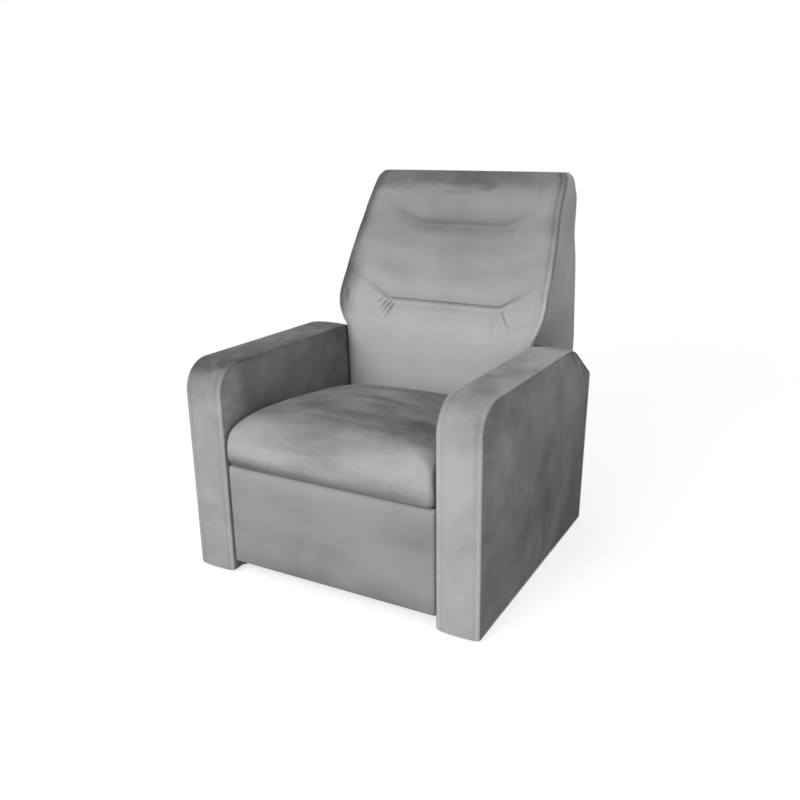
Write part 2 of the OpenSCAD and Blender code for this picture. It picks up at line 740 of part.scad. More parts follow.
module back_wedge() {
    n = back_columns;
    loft([for (v = concat([shell_foot_share], shell_levels_shares)) concat(
        [for (i = [0:n]) let (x = (2 * i / n - 1) * shell_half(v)) back_point(shell_front(v, x), x)],
        [for (i = [0:n]) let (a = 1 - 2 * i / n) back_point(shell_rear(v, a), a * shell_half(v))])]);
}

module back_shell() {
    color(velvet) difference() {
        back_wedge();
        both_sides() {
            gable_form(touch_gap);
            shaft(recline_at, shell_pocket_r, bracket_in - shell_pocket_t, bracket_in + cut_over);
            for (p = bracket_bolt_places)
                shaft(p, bolt_r + hole_play, gable_out - gable_t - cut_over, bracket_in + cut_over);
        }
        for (p = back_rail_places) back_rail(p, touch_gap);
    }
}

// Plywood gables inside the back, each with a packer for its steel bracket
gable_front = [for (v = gable_levels_shares) [pad_rear_at(v) + gable_margin, level_z(v)]];
gable_rear = [for (v = gable_levels_shares) [rear_at(v) - rear_inset, level_z(v)]];

module gable_form(grow) {
    slab(gable_out - gable_t - grow, gable_out + grow) offset(delta = grow)
        polygon(concat(gable_front, [for (i = [len(gable_rear) - 1:-1:0]) gable_rear[i]]));
    slab(gable_out - grow, bracket_in) translate(recline_at - [packer_lead + grow, packer_drop + grow])
        square([packer_d + 2 * grow, packer_rise + packer_drop + 2 * grow]);
}

module back_gable() {
    color(ply) difference() {
        gable_form(0);
        shaft(recline_at, shell_pocket_r, bracket_in - shell_pocket_t, bracket_in + cut_over);
        for (p = bracket_bolt_places)
            shaft(p, bolt_r + hole_play, gable_out - gable_t - cut_over, bracket_in + cut_over);
    }
}

// Cross rails between the gables
low_rail_share = 0.36;
middle_rail_shares = [0.64, 0.6];
top_rail_shares = [0.88, 0.86];
back_rail_places = [[pad_rear_at(low_rail_share) + rail_margin, level_z(shell_foot_share) + rail_margin],
    [rear_at(low_rail_share) - rear_inset - back_rail_w - rail_margin,
        level_z(shell_foot_share) + rail_margin],
    [pad_rear_at(middle_rail_shares[0]) + rail_margin, level_z(middle_rail_shares[1])],
    [rear_at(top_rail_shares[0]) - rear_inset - back_rail_w - touch_gap, level_z(top_rail_shares[1])]];

module back_rail(at, grow) {
    half = gable_out - gable_t;
    translate([-half, arm_front_y + at[0] - grow, at[1] - grow])
        cube([2 * half, back_rail_w + 2 * grow, back_rail_h + 2 * grow]);
}

module back_rails() {
    color(pine) for (p = back_rail_places) back_rail(p, 0);
}

// Steel brackets that hang the back on the arms and drive the seat
bracket_top = [recline_s + bracket_reach, recline_z + bracket_rise];
bracket_bolt_places = [bracket_top, [recline_s - bracket_reach / 4, recline_z + bracket_rise],
    [recline_s + bracket_reach, recline_z]];

module back_bracket() {
    color(steel) slab(bracket_in, bracket_in + bracket_t) difference() {
        union() {
            bar(slot_at, recline_at, bracket_w);
            bar(recline_at, bracket_top, bracket_w);
            bar(recline_at, bracket_bolt_places[1], bracket_w);
            bar(recline_at, bracket_bolt_places[2], bracket_w);
            bar(bracket_bolt_places[1], bracket_top, bracket_w);
            bar(bracket_bolt_places[2], bracket_top, bracket_w);
        }
        hole(recline_at, recline_pin_r + pin_play);
        hole(slot_at, big_pin_r + pin_play);
        for (p = bracket_bolt_places) hole(p, bolt_r + hole_play);
    }
}

module back_bracket_bolts() {
    face = bracket_in + bracket_t + axial_play;
    color(zinc) both_sides() for (p = bracket_bolt_places) {
        shaft(p, bolt_r, gable_out - gable_t + cut_over, face);
        shaft(p, bolt_head_r, face, face + bolt_head_t, 6);
    }
}

module slot_pins() {
    color(zinc) both_sides() pivot_pin(slot_at, big_pin_r, seat_plate_in, seat_plate_out,
        bracket_in, bracket_in + bracket_t, big_head_r);
}

// Footrest links
module link(plane_in, points) {
    color(steel) slab(plane_in, plane_in + link_t) difference() {
        union() for (i = [0:len(points) - 2]) bar(points[i], points[i + 1], link_w);
        for (p = points) hole(p, pin_r + pin_play);
    }
}

module main_link() link(plane1_in, [main_pivot, main_joint, guide_joint]);
module rear_link() link(plane1_in, [rear_pivot, rear_joint]);
module long_link() link(plane2_in, [rear_joint, main_joint, long_pivot]);
module guide_link() link(plane2_in, [guide_joint, guide_pivot]);

module link_pins(places, far_in, near_in) {
    color(zinc) both_sides() for (p = places)
        pivot_pin(p, pin_r, far_in, far_in + link_t, near_in, near_in + link_t, head_r);
}

module main_link_pins() link_pins([main_joint, guide_joint], plane2_in, plane1_in);
module rear_link_pins() link_pins([rear_joint], plane2_in, plane1_in);
module footrest_bracket_pins() link_pins([long_pivot, guide_pivot], plane3_in, plane2_in);

module torque_tube() {
    color(steel) difference() {
        shaft(tube_centre, tube_d / 2, -plane1_in, plane1_in, round_fn);
        shaft(tube_centre, tube_d / 2 - tube_wall, -plane1_in - cut_over, plane1_in + cut_over, round_fn);
    }
}

// Footrest: angle brackets, board and padded cover
flange_top = long_pivot[1] + link_w / 2;
flange_bottom = guide_pivot[1] - link_w;

module footrest_bracket() {
    color(steel) {
        slab(plane3_in, plane3_in + link_t) difference() {
            union() {
                bar(long_pivot, guide_pivot, link_w);
                polygon([[panel_t, flange_top], [long_pivot[0], flange_top], guide_pivot + [link_w / 2, 0],
                    [panel_t, flange_bottom]]);
            }
            hole(long_pivot, pin_r + pin_play);
            hole(guide_pivot, pin_r + pin_play);
        }
        difference() {
            slab(plane3_in - flange_w, plane3_in) translate([panel_t, flange_bottom])
                square([link_t, flange_top - flange_bottom]);
            for (z = footrest_screw_z) screw_shank(z, screw_r + hole_play, -cut_over, link_t + cut_over);
        }
    }
}

footrest_screw_z = [mix(flange_bottom, flange_top, 0.2), mix(flange_bottom, flange_top, 0.8)];

// A shaft along Y behind the footrest board, from and to a distance behind it
module screw_shank(z, r, from, to) {
    translate([plane3_in - flange_w / 2, arm_front_y + panel_t + to, z]) rotate([90, 0, 0])
        cylinder(r = r, h = to - from, $fn = small_fn);
}

module footrest_screws() {
    color(zinc) both_sides() for (z = footrest_screw_z) {
        screw_shank(z, screw_r, touch_gap - board_t, link_t + axial_play);
        screw_shank(z, screw_head_r, link_t + axial_play, link_t + axial_play + screw_head_t);
    }
}

module board_form(grow) {
    half = arm_in - panel_side_gap - board_inset;
    low = panel_top_z - panel_h + board_inset;
    translate([-half - grow, arm_front_y + panel_t - board_t - grow, low - grow])
        cube([2 * (half + grow), board_t + grow, panel_h - 2 * board_inset + 2 * grow]);
}

module footrest_board() {
    color(ply) difference() {
        board_form(0);
        both_sides() for (z = footrest_screw_z) screw_shank(z, screw_r + hole_play, -board_t - cut_over, cut_over);
    }
}

function pad_ring(s, inset) = [for (i = [0:panel_ring_n - 1]) let (
    o = oval(i * 360 / panel_ring_n + 180 / panel_ring_n, panel_square_share),
    half_w = arm_in - panel_side_gap - inset, half_h = panel_h / 2 - inset)
    [o[0] * half_w, arm_front_y + s, panel_top_z - panel_h / 2 + o[1] * half_h]];

module footrest_pad() {
    color(velvet) difference() {
        loft([for (l = panel_levels_shares) pad_ring(l[0] * panel_t, l[1] * panel_h)]);
        board_form(touch_gap);
        translate([-arm_in, arm_front_y + panel_t, 0]) cube([2 * arm_in, cut_over * 2, panel_top_z]);
    }
}

// Each piece that has a left and a right copy is drawn on the left and mirrored
module right() {
    mirror([1, 0, 0]) children();
}

floor_glides();
arm_cover();  // arm_cover_left
right() arm_cover();  // arm_cover_right
arm_frame();  // arm_frame_left
right() arm_frame();  // arm_frame_right
arm_outer_board();  // arm_outer_board_left
right() arm_outer_board();  // arm_outer_board_right
arm_inner_board();  // arm_inner_board_left
right() arm_inner_board();  // arm_inner_board_right
front_stretcher();
rear_stretcher();
corner_blocks();
base_plate();  // base_plate_left
right() base_plate();  // base_plate_right
base_bolts();
swing_base_pins();
recline_pins();
rear_swing_link();  // rear_swing_link_left
right() rear_swing_link();  // rear_swing_link_right
front_swing_link();  // front_swing_link_left
right() front_swing_link();  // front_swing_link_right
seat_plate();  // seat_plate_left
right() seat_plate();  // seat_plate_right
seat_plate_pins();
seat_plate_screws();
seat_side_rail();  // seat_side_rail_left
right() seat_side_rail();  // seat_side_rail_right
seat_front_board();
seat_rear_board();
seat_webbing();
seat_cushion();
back_gable();  // back_gable_left
right() back_gable();  // back_gable_right
back_rails();
back_shell();
back_cushion();
back_bracket();  // back_bracket_left
right() back_bracket();  // back_bracket_right
back_bracket_bolts();
slot_pins();
main_link();  // main_link_left
right() main_link();  // main_link_right
main_link_pins();
rear_link();  // rear_link_left
right() rear_link();  // rear_link_right
rear_link_pins();
torque_tube();
long_link();  // long_link_left
right() long_link();  // long_link_right
guide_link();  // guide_link_left
right() guide_link();  // guide_link_right
footrest_bracket();  // footrest_bracket_left
right() footrest_bracket();  // footrest_bracket_right
footrest_bracket_pins();
footrest_screws();
footrest_board();
footrest_pad();
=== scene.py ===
import json
import math
import bmesh
import bpy
import numpy as np
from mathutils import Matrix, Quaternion, Vector


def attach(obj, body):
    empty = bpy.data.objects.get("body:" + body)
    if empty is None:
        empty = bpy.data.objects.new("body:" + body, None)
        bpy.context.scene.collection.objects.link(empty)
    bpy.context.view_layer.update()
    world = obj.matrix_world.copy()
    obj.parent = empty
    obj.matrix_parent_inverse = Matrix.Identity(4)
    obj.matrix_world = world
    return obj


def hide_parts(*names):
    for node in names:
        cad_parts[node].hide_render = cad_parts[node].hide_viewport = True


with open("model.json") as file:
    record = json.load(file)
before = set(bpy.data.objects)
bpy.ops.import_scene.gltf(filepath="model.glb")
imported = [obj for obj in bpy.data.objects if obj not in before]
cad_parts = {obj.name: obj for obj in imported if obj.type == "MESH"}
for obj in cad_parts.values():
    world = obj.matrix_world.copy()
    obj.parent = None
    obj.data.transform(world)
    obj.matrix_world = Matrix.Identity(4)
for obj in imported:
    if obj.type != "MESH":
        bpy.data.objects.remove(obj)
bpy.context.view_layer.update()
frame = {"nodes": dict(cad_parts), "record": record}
nodes = frame["nodes"]
mm = 0.001
frontY = -444  # mm, front plane of the arms; depths s run back from it
print("frame loaded:", len(nodes), "nodes")


# Small tools for numbers and meshes; shapes are worked out in mm and built in metres
def smoothStep(low, high, value):
    t = np.clip((np.asarray(value, float) - low) / (high - low), 0, 1)
    return t * t * (3 - 2 * t)


def hump(value, centre, width):
    return np.exp(-((np.asarray(value, float) - centre) / width) ** 2)


def mix(a, b, t):
    return a + (b - a) * t


def softLine(value, table, width=0.012):  # a table read with its corners rounded off, over width on each side
    keys, vals = np.array(table, float).T
    value = np.clip(np.asarray(value, float), keys[0], keys[-1])
    first, last = (np.diff(vals) / np.diff(keys))[[0, -1]]
    height, weight = 0, 0
    for shift in np.linspace(-1, 1, 9):
        v = value + shift * width
        y = np.interp(v, keys, vals) + first * np.minimum(v - keys[0], 0) + last * np.maximum(v - keys[-1], 0)
        share = 1.1 - abs(shift)
        height, weight = height + share * y, weight + share
    return height / weight


def spread(low, high, step, dense=()):  # positions whose spacing tightens near each (centre, reach, step)
    fine = np.linspace(low, high, 4000)
    size = np.full_like(fine, step)
    for centre, reach, small in dense:
        size = np.minimum(size, mix(small, step, smoothStep(0.5, 1.6, np.abs(fine - centre) / reach)))
    count = np.concatenate([[0], np.cumsum((fine[1:] - fine[:-1]) / size[1:])])
    return np.interp(np.linspace(0, count[-1], int(math.ceil(count[-1])) + 1), count, fine)


def place(x, s, z):
    return np.stack(np.broadcast_arrays(x, np.asarray(s, float) + frontY, z), -1)


def cloud(x, y, z, size, seed):  # smooth random patches between 0 and 1, with sizes in mm along x, y and z
    cells, start, patches = 32, 400, 0  # the lattice repeats after so many cells; start shifts the pattern
    for octave, weight in ((1, 0.62), (2.3, 0.38)):
        lattice = np.random.default_rng(seed + int(octave * 10)).random((cells, cells, cells))
        q = [np.asarray(c, float) * octave / d + start for c, d in zip(np.broadcast_arrays(x, y, z), size)]
        base = [np.floor(c).astype(int) for c in q]
        part = [smoothStep(0, 1, c - b) for c, b in zip(q, base)]
        for corner in range(8):
            on = [(corner >> k) & 1 for k in range(3)]
            share = np.prod([f if o else 1 - f for f, o in zip(part, on)], axis=0)
            patches = patches + weight * share * lattice[tuple((b + o) % cells for b, o in zip(base, on))]
    return patches


def ramp(name, start, end):  # 0 where the named place is start, rising smoothly to 1 at end
    return lambda places: smoothStep(start, end, places[name])


def ridge(name, centre, width):
    return lambda places: hump(places[name], centre, width)


def total(rows, **places):  # a sum of amounts, each times its factors: named places, ramps or ridges
    result = 0
    for amount, *factors in rows:
        for factor in factors:
            amount = amount * (places[factor] if isinstance(factor, str) else factor(places))
        result = result + amount
    return result


def addObject(name, data):
    made = bpy.data.objects.new(name, data)
    bpy.context.scene.collection.objects.link(made)
    return made


def skin(name, rings):  # a closed form from rings with equal point counts
    rings = np.asarray(rings, float)
    rows, cols = rings.shape[:2]
    points = rings.reshape(-1, 3) * mm
    c = np.arange(cols)
    d = (c + 1) % cols
    quads = [np.stack([r * cols + c, r * cols + d, (r + 1) * cols + d, (r + 1) * cols + c], 1)
             for r in range(rows - 1)]
    faces = [tuple(q) for q in np.concatenate(quads).tolist()]
    for base, turn in ((0, 1), ((rows - 1) * cols, -1)):  # each end closes column by column, without a pole
        faces += [(base + i + 1, base + i, base + cols - 1 - i, base + cols - 2 - i)[::turn]
                  for i in range(cols // 2 - 1)]
    q = points[np.array(faces)]
    volume = np.einsum("ij,ij->", q[:, 0], np.cross(q[:, 1], q[:, 2]) + np.cross(q[:, 2], q[:, 3]))
    if volume < 0:
        faces = [f[::-1] for f in faces]
    mesh = bpy.data.meshes.new(name)
    mesh.from_pydata(points.tolist(), [], faces)
    mesh.shade_smooth()
    return addObject(name, mesh)


def pointsOf(mesh):
    co = np.empty(len(mesh.vertices) * 3, np.float32)
    mesh.vertices.foreach_get("co", co)
    return co.reshape(-1, 3).astype(float)


def setPoints(piece, points):
    piece.data.vertices.foreach_set("co", np.asarray(points, np.float32).ravel())
    piece.data.update()


def placesOf(piece):  # x, s and z of every point, in mm
    x, y, z = pointsOf(piece.data).T / mm
    return x, y - frontY, z


def alongLine(x, z, x0, z0, x1, z1):  # how far along a line a place is, as a share, and how far beside it
    dx, dz = x1 - x0, z1 - z0
    length = math.hypot(dx, dz)
    return ((x - x0) * dx + (z - z0) * dz) / length ** 2, ((x - x0) * dz - (z - z0) * dx) / length


def settle(piece):  # turns what the modifiers make into the piece's own mesh
    made = bpy.data.meshes.new_from_object(piece.evaluated_get(bpy.context.evaluated_depsgraph_get()))
    piece.modifiers.clear()
    piece.data = made
    made.shade_smooth()


def subdivide(piece):
    smooth = piece.modifiers.new("Smooth", "SUBSURF")
    smooth.levels = smooth.render_levels = 1


def setNapAndShading(piece, values):  # 0 dark, 1 light: the pile's lay together with painted light and shade
    napAndShading = piece.data.attributes.new("napAndShading", "FLOAT", "POINT")
    napAndShading.data.foreach_set("value", np.clip(values * velvetSpec["napAndShadingScale"], 0, 1).astype(np.float32))


# The covers' cloth simulation; calmShare is how far a free point goes to its neighbours in each calm pass
clothSpec = {"quality": 5, "mass": 0.4, "shearShare": 1 / 3, "frames": 20, "holdSteps": 20, "calmShare": 0.6}


def inflate(piece, held, spec):  # the cover stretched over its filling by a short cloth simulation
    start = pointsOf(piece.data)
    group = piece.vertex_groups.new(name="held")
    held = np.clip(held, 0, 1)
    steps = np.round(held * clothSpec["holdSteps"]).astype(int)
    for k in np.unique(steps[steps > 0]):
        group.add(np.nonzero(steps == k)[0].tolist(), k / clothSpec["holdSteps"], "REPLACE")
    cloth = piece.modifiers.new("Cloth", "CLOTH")
    c = cloth.settings
    c.quality = clothSpec["quality"]
    c.mass = clothSpec["mass"]
    c.tension_stiffness = c.compression_stiffness = spec["stiffness"]
    c.shear_stiffness = spec["stiffness"] * clothSpec["shearShare"]
    c.bending_stiffness = spec["bending"]
    c.use_pressure = True
    c.uniform_pressure_force = spec["pressure"]
    c.effector_weights.gravity = 0
    c.vertex_group_mass = "held"
    scene = bpy.context.scene
    for f in range(1, clothSpec["frames"] + 1):
        scene.frame_set(f)
    done = piece.evaluated_get(bpy.context.evaluated_depsgraph_get())
    moved = pointsOf(done.data) - start
    piece.modifiers.remove(cloth)
    piece.vertex_groups.clear()
    scene.frame_set(1)
    far = np.linalg.norm(moved, axis=1)[:, None] + 1e-9  # never nought, so that it can divide
    cap = spec["cap"] * mm
    moved = moved / far * cap * np.tanh(far / cap)
    ends = np.empty(len(piece.data.edges) * 2, np.int32)
    piece.data.edges.foreach_get("vertices", ends)
    ends = ends.reshape(-1, 2)
    ends, others = np.concatenate([ends, ends[:, ::-1]]).T
    count = np.bincount(ends, minlength=len(start))[:, None]
    pull = clothSpec["calmShare"] * (1 - held)[:, None]
    for _ in range(spec["calm"]):  # the swelling without the small folds that follow the mesh
        near = np.stack([np.bincount(ends, moved[others, k], len(start)) for k in range(3)], 1) / count
        moved = moved + pull * (near - moved)
    setPoints(piece, start + moved)
    print("inflated", piece.name, "largest move", round(float(far.max()) / mm, 1), "mm")


def linear(hexColour):  # sRGB hex to the linear values that a socket takes
    parts = [int(hexColour[i:i + 2], 16) / 255 for i in (1, 3, 5)]
    return tuple(p / 12.92 if p <= 0.04045 else ((p + 0.055) / 1.055) ** 2.4 for p in parts) + (1.0,)


def addNode(tree, kind, inputs=None, **settings):
    made = tree.nodes.new(kind)
    for key, value in settings.items():
        setattr(made, key, value)
    for key, value in (inputs or {}).items():
        if isinstance(value, bpy.types.NodeSocket):
            tree.links.new(value, made.inputs[key])
        else:
            made.inputs[key].default_value = value
    return made


def startMaterial(name):
    made = bpy.data.materials.new(name)
    made.use_nodes = True
    made.node_tree.nodes.clear()
    return made, made.node_tree, addNode(made.node_tree, "ShaderNodeTexCoord").outputs["Object"]


def finishMaterial(made, surface):
    out = addNode(made.node_tree, "ShaderNodeOutputMaterial")
    made.node_tree.links.new(surface.outputs[0], out.inputs["Surface"])
    return made


# Polyester velvet, cut pile on a woven ground: dull, with patches that turn light or dark with the lay of
# the pile and a soft sheen at grazing angles. Real pile is 0.1 mm thick; its mottle is drawn at 3.3 mm and
# finer, so that it shows. Patches are about 200 mm wide, and streaks follow the way each piece is brushed.
velvetSpec = {
    "dark": "#5B5B5C", "light": "#C4C4C4", "napAndShadingScale": 0.825, "contrast": 3.2, "rough": (0.96, 0.82),
    "sheen": 0.22, "sheenRough": 0.42, "sheenTint": "#D8D8D8", "gloss": 0.18,
    "patch": {"Scale": 5.0, "Detail": 3.0, "Roughness": 0.55, "Distortion": 0.6}, "patchDepth": 0.16,
    "streak": {"Scale": 1.0, "Detail": 4.0, "Roughness": 0.6, "Distortion": 0.35}, "streakDepth": 0.16,
    "pile": {"Scale": 1 / 0.0033, "Detail": 2.0, "Roughness": 0.6}, "pileDepth": 0.05,
    "foldBump": {"Strength": 0.25, "Distance": 0.004}, "pileBump": {"Strength": 0.35, "Distance": 0.0006},
}


def velvet(name, streaks, **changes):
    spec = {**velvetSpec, **changes}
    made, tree, where = startMaterial(name)
    # the tone starts from each piece's point attribute: the pile's lay together with painted light and shade
    tone = addNode(tree, "ShaderNodeAttribute", attribute_name="napAndShading").outputs["Fac"]
    along = addNode(tree, "ShaderNodeMapping", {"Vector": where, "Scale": streaks}).outputs[0]
    marks = {}
    for mark, vector in (("patch", where), ("streak", along), ("pile", where)):
        marks[mark] = addNode(tree, "ShaderNodeTexNoise", {"Vector": vector, **spec[mark]}).outputs["Fac"]
        part = addNode(tree, "ShaderNodeMath", {0: marks[mark], 1: 0.5}, operation="SUBTRACT").outputs[0]
        tone = addNode(tree, "ShaderNodeMath", {0: part, 1: spec[mark + "Depth"] * spec["contrast"], 2: tone},
                       operation="MULTIPLY_ADD").outputs[0]
    shade = addNode(tree, "ShaderNodeMix", {
        "Factor": tone, "A": linear(spec["dark"]), "B": linear(spec["light"])},
        data_type="RGBA", clamp_factor=True)
    most, least = spec["rough"]
    rough = addNode(tree, "ShaderNodeMapRange", {"Value": tone, "To Min": most, "To Max": least})
    fold = addNode(tree, "ShaderNodeBump", {"Height": marks["streak"], **spec["foldBump"]}).outputs[0]
    bump = addNode(tree, "ShaderNodeBump", {"Height": marks["pile"], "Normal": fold, **spec["pileBump"]})
    return finishMaterial(made, addNode(tree, "ShaderNodeBsdfPrincipled", {
        "Base Color": shade.outputs["Result"], "Roughness": rough.outputs[0], "Normal": bump.outputs[0],
        "Sheen Weight": spec["sheen"], "Sheen Roughness": spec["sheenRough"],
        "Sheen Tint": linear(spec["sheenTint"]), "Specular IOR Level": spec["gloss"]}))


finishes = {
    "velvet_arm": velvet("velvetArm", (7, 7, 7)),
    "velvet_seat": velvet("velvetSeat", (3.5, 17, 17), patchDepth=0.12, streakDepth=0.24),
    "velvet_back": velvet("velvetBack", (5, 5, 9), patchDepth=0.1, streakDepth=0.08),
    "velvet_footrest": velvet("velvetFootrest", (5, 5, 6), patchDepth=0.08, streakDepth=0.06),
}


def dress(piece, napAndShading, slotName):
    setNapAndShading(piece, napAndShading)
    piece.data.materials.append(finishes[slotName])
    return piece


# Arms: a padded band over the edge of a flat side, with a sewn seam round each face. Places are (s, z) in mm;
# pairs are (right, left). Rows of nap with painted light and shade, seam and pucker are an amount and its
# factors, as total() takes them.
armSpec = {
    "inner": 288, "outer": 400, "corners": [(0, 5), (0, 556), (588.8, 542), (748, 437), (718, 5)],
    "radii": [4, 78, 165, 22, 8], "arcPoints": [7, 30, 26, 12, 7], "sidePoints": [52, 50, 20, 46, 66],
    "bandRows": 11, "crown": 3, "crownPower": 2.4, "edgeRound": 3, "edgeStart": 0.86,
    "insets": [214, 190, 165, 140, 116, 94, 75, 59, 46, 35.5, 27, 20, 15, 11, 8, 6, 4.5, 3.2, 2.2, 1.2],
    "heart": [(200, 272), (520, 250)], "heartDepth": 236, "panelPuff": (4, 2),
    "seam": [(1.8, ridge("d", 2.8, 1.5)), (-0.9, ridge("d", 7.5, 3))],
    "pucker": [(2.2, ramp("s", 330, 150), ramp("z", 330, 430))], "puckerEvery": 29, "puckerReach": 17,
    "sag": 0.99, "sagWaves": (61, 83), "sagShift": (1.3, 0.7),
    "bare": {"foot": 42, "skirt": 286.6, "front": 46, "rear": 706, "step": 591.7, "low": 292.3, "high": 442.3,
             "depth": 300.4, "lip": 0.4, "slack": 0.3},
    # arm and darker on the left
    # painted light by face direction, as (right, left): front faces lighter; upward faces lighter on the
    # right
    "frontShadingAndNap": (0.5, 0.3), "topShadingAndNap": (0.2, -0.26),
    # darker from 430 to 520 mm high where it does not face up
    # the band: pile patches, a painted highlight about 8 mm in from each seam with painted shade further in,
    # and
    "bandShadingAndNap": [(0.44,), (0.14, "front", "brush"), (0.13, "rimShare", ridge("rim", 8, 4)),
                (-0.1, "rimShare", ridge("rim", 16, 5)), (-0.3, "notTop", ramp("z", 430, 520)),
                (-0.2, "top", ramp("brush", -0.1, 0.12)), (-0.1, "top", ramp("marks", 0.08, 0.28))],
    # flat sides: pile patches and marks, with painted shade darker towards the rear and the bottom and on the
    # inner side facing the seat; lighter near the front
    "flankShadingAndNap": [
        (0.3,), (-0.13, ramp("s", 150, 600), ramp("z", 460, 60)), (0.12, "brush"),
        (-0.13, ramp("z", 400, 120)), (0.05, ramp("s", 160, 40)), (-0.08, "inward"),
        (0.5, "pinch", ramp("s", 80, 20), ramp("z", 380, 430)), (0.22, "marks", ramp("slope", 460, 540)),
        (0.24, "inward", ramp("frontPatch", 100, 50))],
    "paintedFoldLines": [(556, 522, 640, 446, 5, 0.16), (596, 506, 652, 428, 4, 0.13), (636, 486, 702, 408, 5, 0.16),
              (692, 440, 712, 320, 5, 0.13)],  # painted fold highlights with painted shade beside, from (s, z) to (s, z), with width and amount
}
leastRadius = 2.5  # mm, of any rounded corner


def roundedLoop(corners, radii, inset, arcPoints, sidePoints):  # a clockwise outline with its sides moved in
    corners = np.array(corners, float)
    n = len(corners)
    edges = np.roll(corners, -1, axis=0) - corners
    normals = np.stack([edges[:, 1], -edges[:, 0]], 1) / np.linalg.norm(edges, axis=1)[:, None]
    starts = corners + normals * np.array(inset, float)[:, None]
    moved = []
    for i in range(n):  # where the two shifted sides beside corner i meet
        t = np.linalg.solve(np.array([edges[i - 1], -edges[i]]).T, starts[i] - starts[i - 1])
        moved.append(starts[i - 1] + edges[i - 1] * t[0])
    arcs = []
    for i in range(n):
        back = moved[i - 1] - moved[i]
        ahead = moved[(i + 1) % n] - moved[i]
        back, ahead = back / np.linalg.norm(back), ahead / np.linalg.norm(ahead)
        half = math.acos(float(np.clip(back @ ahead, -1, 1))) / 2
        r = max(radii[i] - max(inset[i - 1], inset[i]), leastRadius)
        reach = r / math.tan(half)
        centre = moved[i] + (back + ahead) / np.linalg.norm(back + ahead) * r / math.sin(half)
        a, b = moved[i] + back * reach - centre, moved[i] + ahead * reach - centre
        turn = math.copysign(math.pi - 2 * half, a[0] * b[1] - a[1] * b[0])
        w = turn * np.linspace(0, 1, arcPoints[i])[:, None]
        arcs.append(centre + a * np.cos(w) + np.array([-a[1], a[0]]) * np.sin(w))
    loop = []
    for i in range(n):
        t = np.arange(1, sidePoints[i] + 1)[:, None] / (sidePoints[i] + 1)
        loop += [arcs[i], mix(arcs[i][-1], arcs[(i + 1) % n][0], t)]
    return np.concatenate(loop)


def armLoop(inset):
    bottom = min(inset, 3 + inset * 0.15)  # the lower edge stays close to the floor
    return roundedLoop(armSpec["corners"], armSpec["radii"], [inset, inset, inset, inset, bottom],
                       armSpec["arcPoints"], armSpec["sidePoints"])


def armRings():
    a = armSpec
    middle, half = (a["inner"] + a["outer"]) / 2, (a["outer"] - a["inner"]) / 2
    heart = np.array(a["heart"], float)
    edge = armLoop(a["crown"] + a["edgeRound"])
    spine = heart[1] - heart[0]
    t = np.clip(((edge - heart[0]) @ spine) / (spine @ spine), 0.0, 1.0)[:, None]
    target = heart[0] + t * spine
    reach = np.linalg.norm(target - edge, axis=1)[:, None]
    along = np.concatenate([[0], np.cumsum(np.linalg.norm(np.diff(edge, axis=0), axis=1))])
    waves = (0.5 - 0.5 * np.cos(2 * math.pi * (along + 9 * np.sin(along / 37)) / a["puckerEvery"])) ** 2
    rings = []
    for side in (1, -1):
        panel = []
        for d in a["insets"]:
            share = mix(np.minimum(d / reach, 0.9), min(d / a["heartDepth"], 0.97), smoothStep(0, 120, d))
            s, z = mix(edge, target, share).T
            puff = a["panelPuff"][side < 0] * (smoothStep(0, 90, d) - 1)
            pucker = total(a["pucker"], s=s, z=z) * waves * math.exp(-d / a["puckerReach"]) * (d > 2)
            sag = np.sin(s / a["sagWaves"][0] + a["sagShift"][0] * side) \
                * np.sin(z / a["sagWaves"][1] + a["sagShift"][1]) * smoothStep(10, 90, d)
            panel.append(place(middle + side * (
                half + puff - total(a["seam"], d=d) - pucker - a["sag"] * np.abs(sag)), s, z))
        band = []
        for u in np.linspace(1, 0, a["bandRows"])[:-1]:
            bend = max(0, u - a["edgeStart"]) / (1 - a["edgeStart"])
            loop = armLoop(a["crown"] * u ** a["crownPower"] + a["edgeRound"] * bend ** 2)
            band.append(place(middle + side * half * min(u, 0.985), *loop.T))
        if side > 0:
            rings += panel + band + [place(middle, *armLoop(0).T)]
        else:
            rings += band[::-1] + panel[::-1]
    return rings


def bareLowerSide(piece, side):  # the cover stops short of the lower inner side, where the mechanism runs
    b = armSpec["bare"]
    work = bmesh.new()
    work.from_mesh(piece.data)
    deep, skirt, slack = b["depth"] * mm, b["skirt"] * mm, b["slack"]
    for edge, axis, turn in (("front", 1, 1), ("rear", 1, -1), ("step", 1, 1),
                             ("low", 2, -1), ("high", 2, -1), ("foot", 2, 1)):
        normal = Vector((0, axis == 1, axis == 2))
        for shift in (0, b["lip"]):
            at = b[edge] + turn * shift + (frontY if axis == 1 else 0)
            near = [f for f in work.faces if all(side * v.co.x < deep + mm for v in f.verts)]
            parts = near + list({e for f in near for e in f.edges}) + list({v for f in near for v in f.verts})
            bmesh.ops.bisect_plane(work, geom=parts, plane_co=normal * at * mm, plane_no=normal)
    for v in work.verts:
        s, z, x = v.co.y / mm - frontY, v.co.z / mm, side * v.co.x
        if not b["front"] + slack < s < b["rear"] - slack:
            continue
        bare = z < b["low"] - slack or (s > b["step"] + slack and z < b["high"] - slack)
        if z > b["foot"] + slack and bare and x < deep:
            v.co.x = side * deep
        elif z < b["foot"] + 0.1 and x < skirt + mm:
            v.co.x = side * skirt
    work.to_mesh(piece.data)
    work.free()
    piece.data.set_sharp_from_angle(angle=math.radians(50))


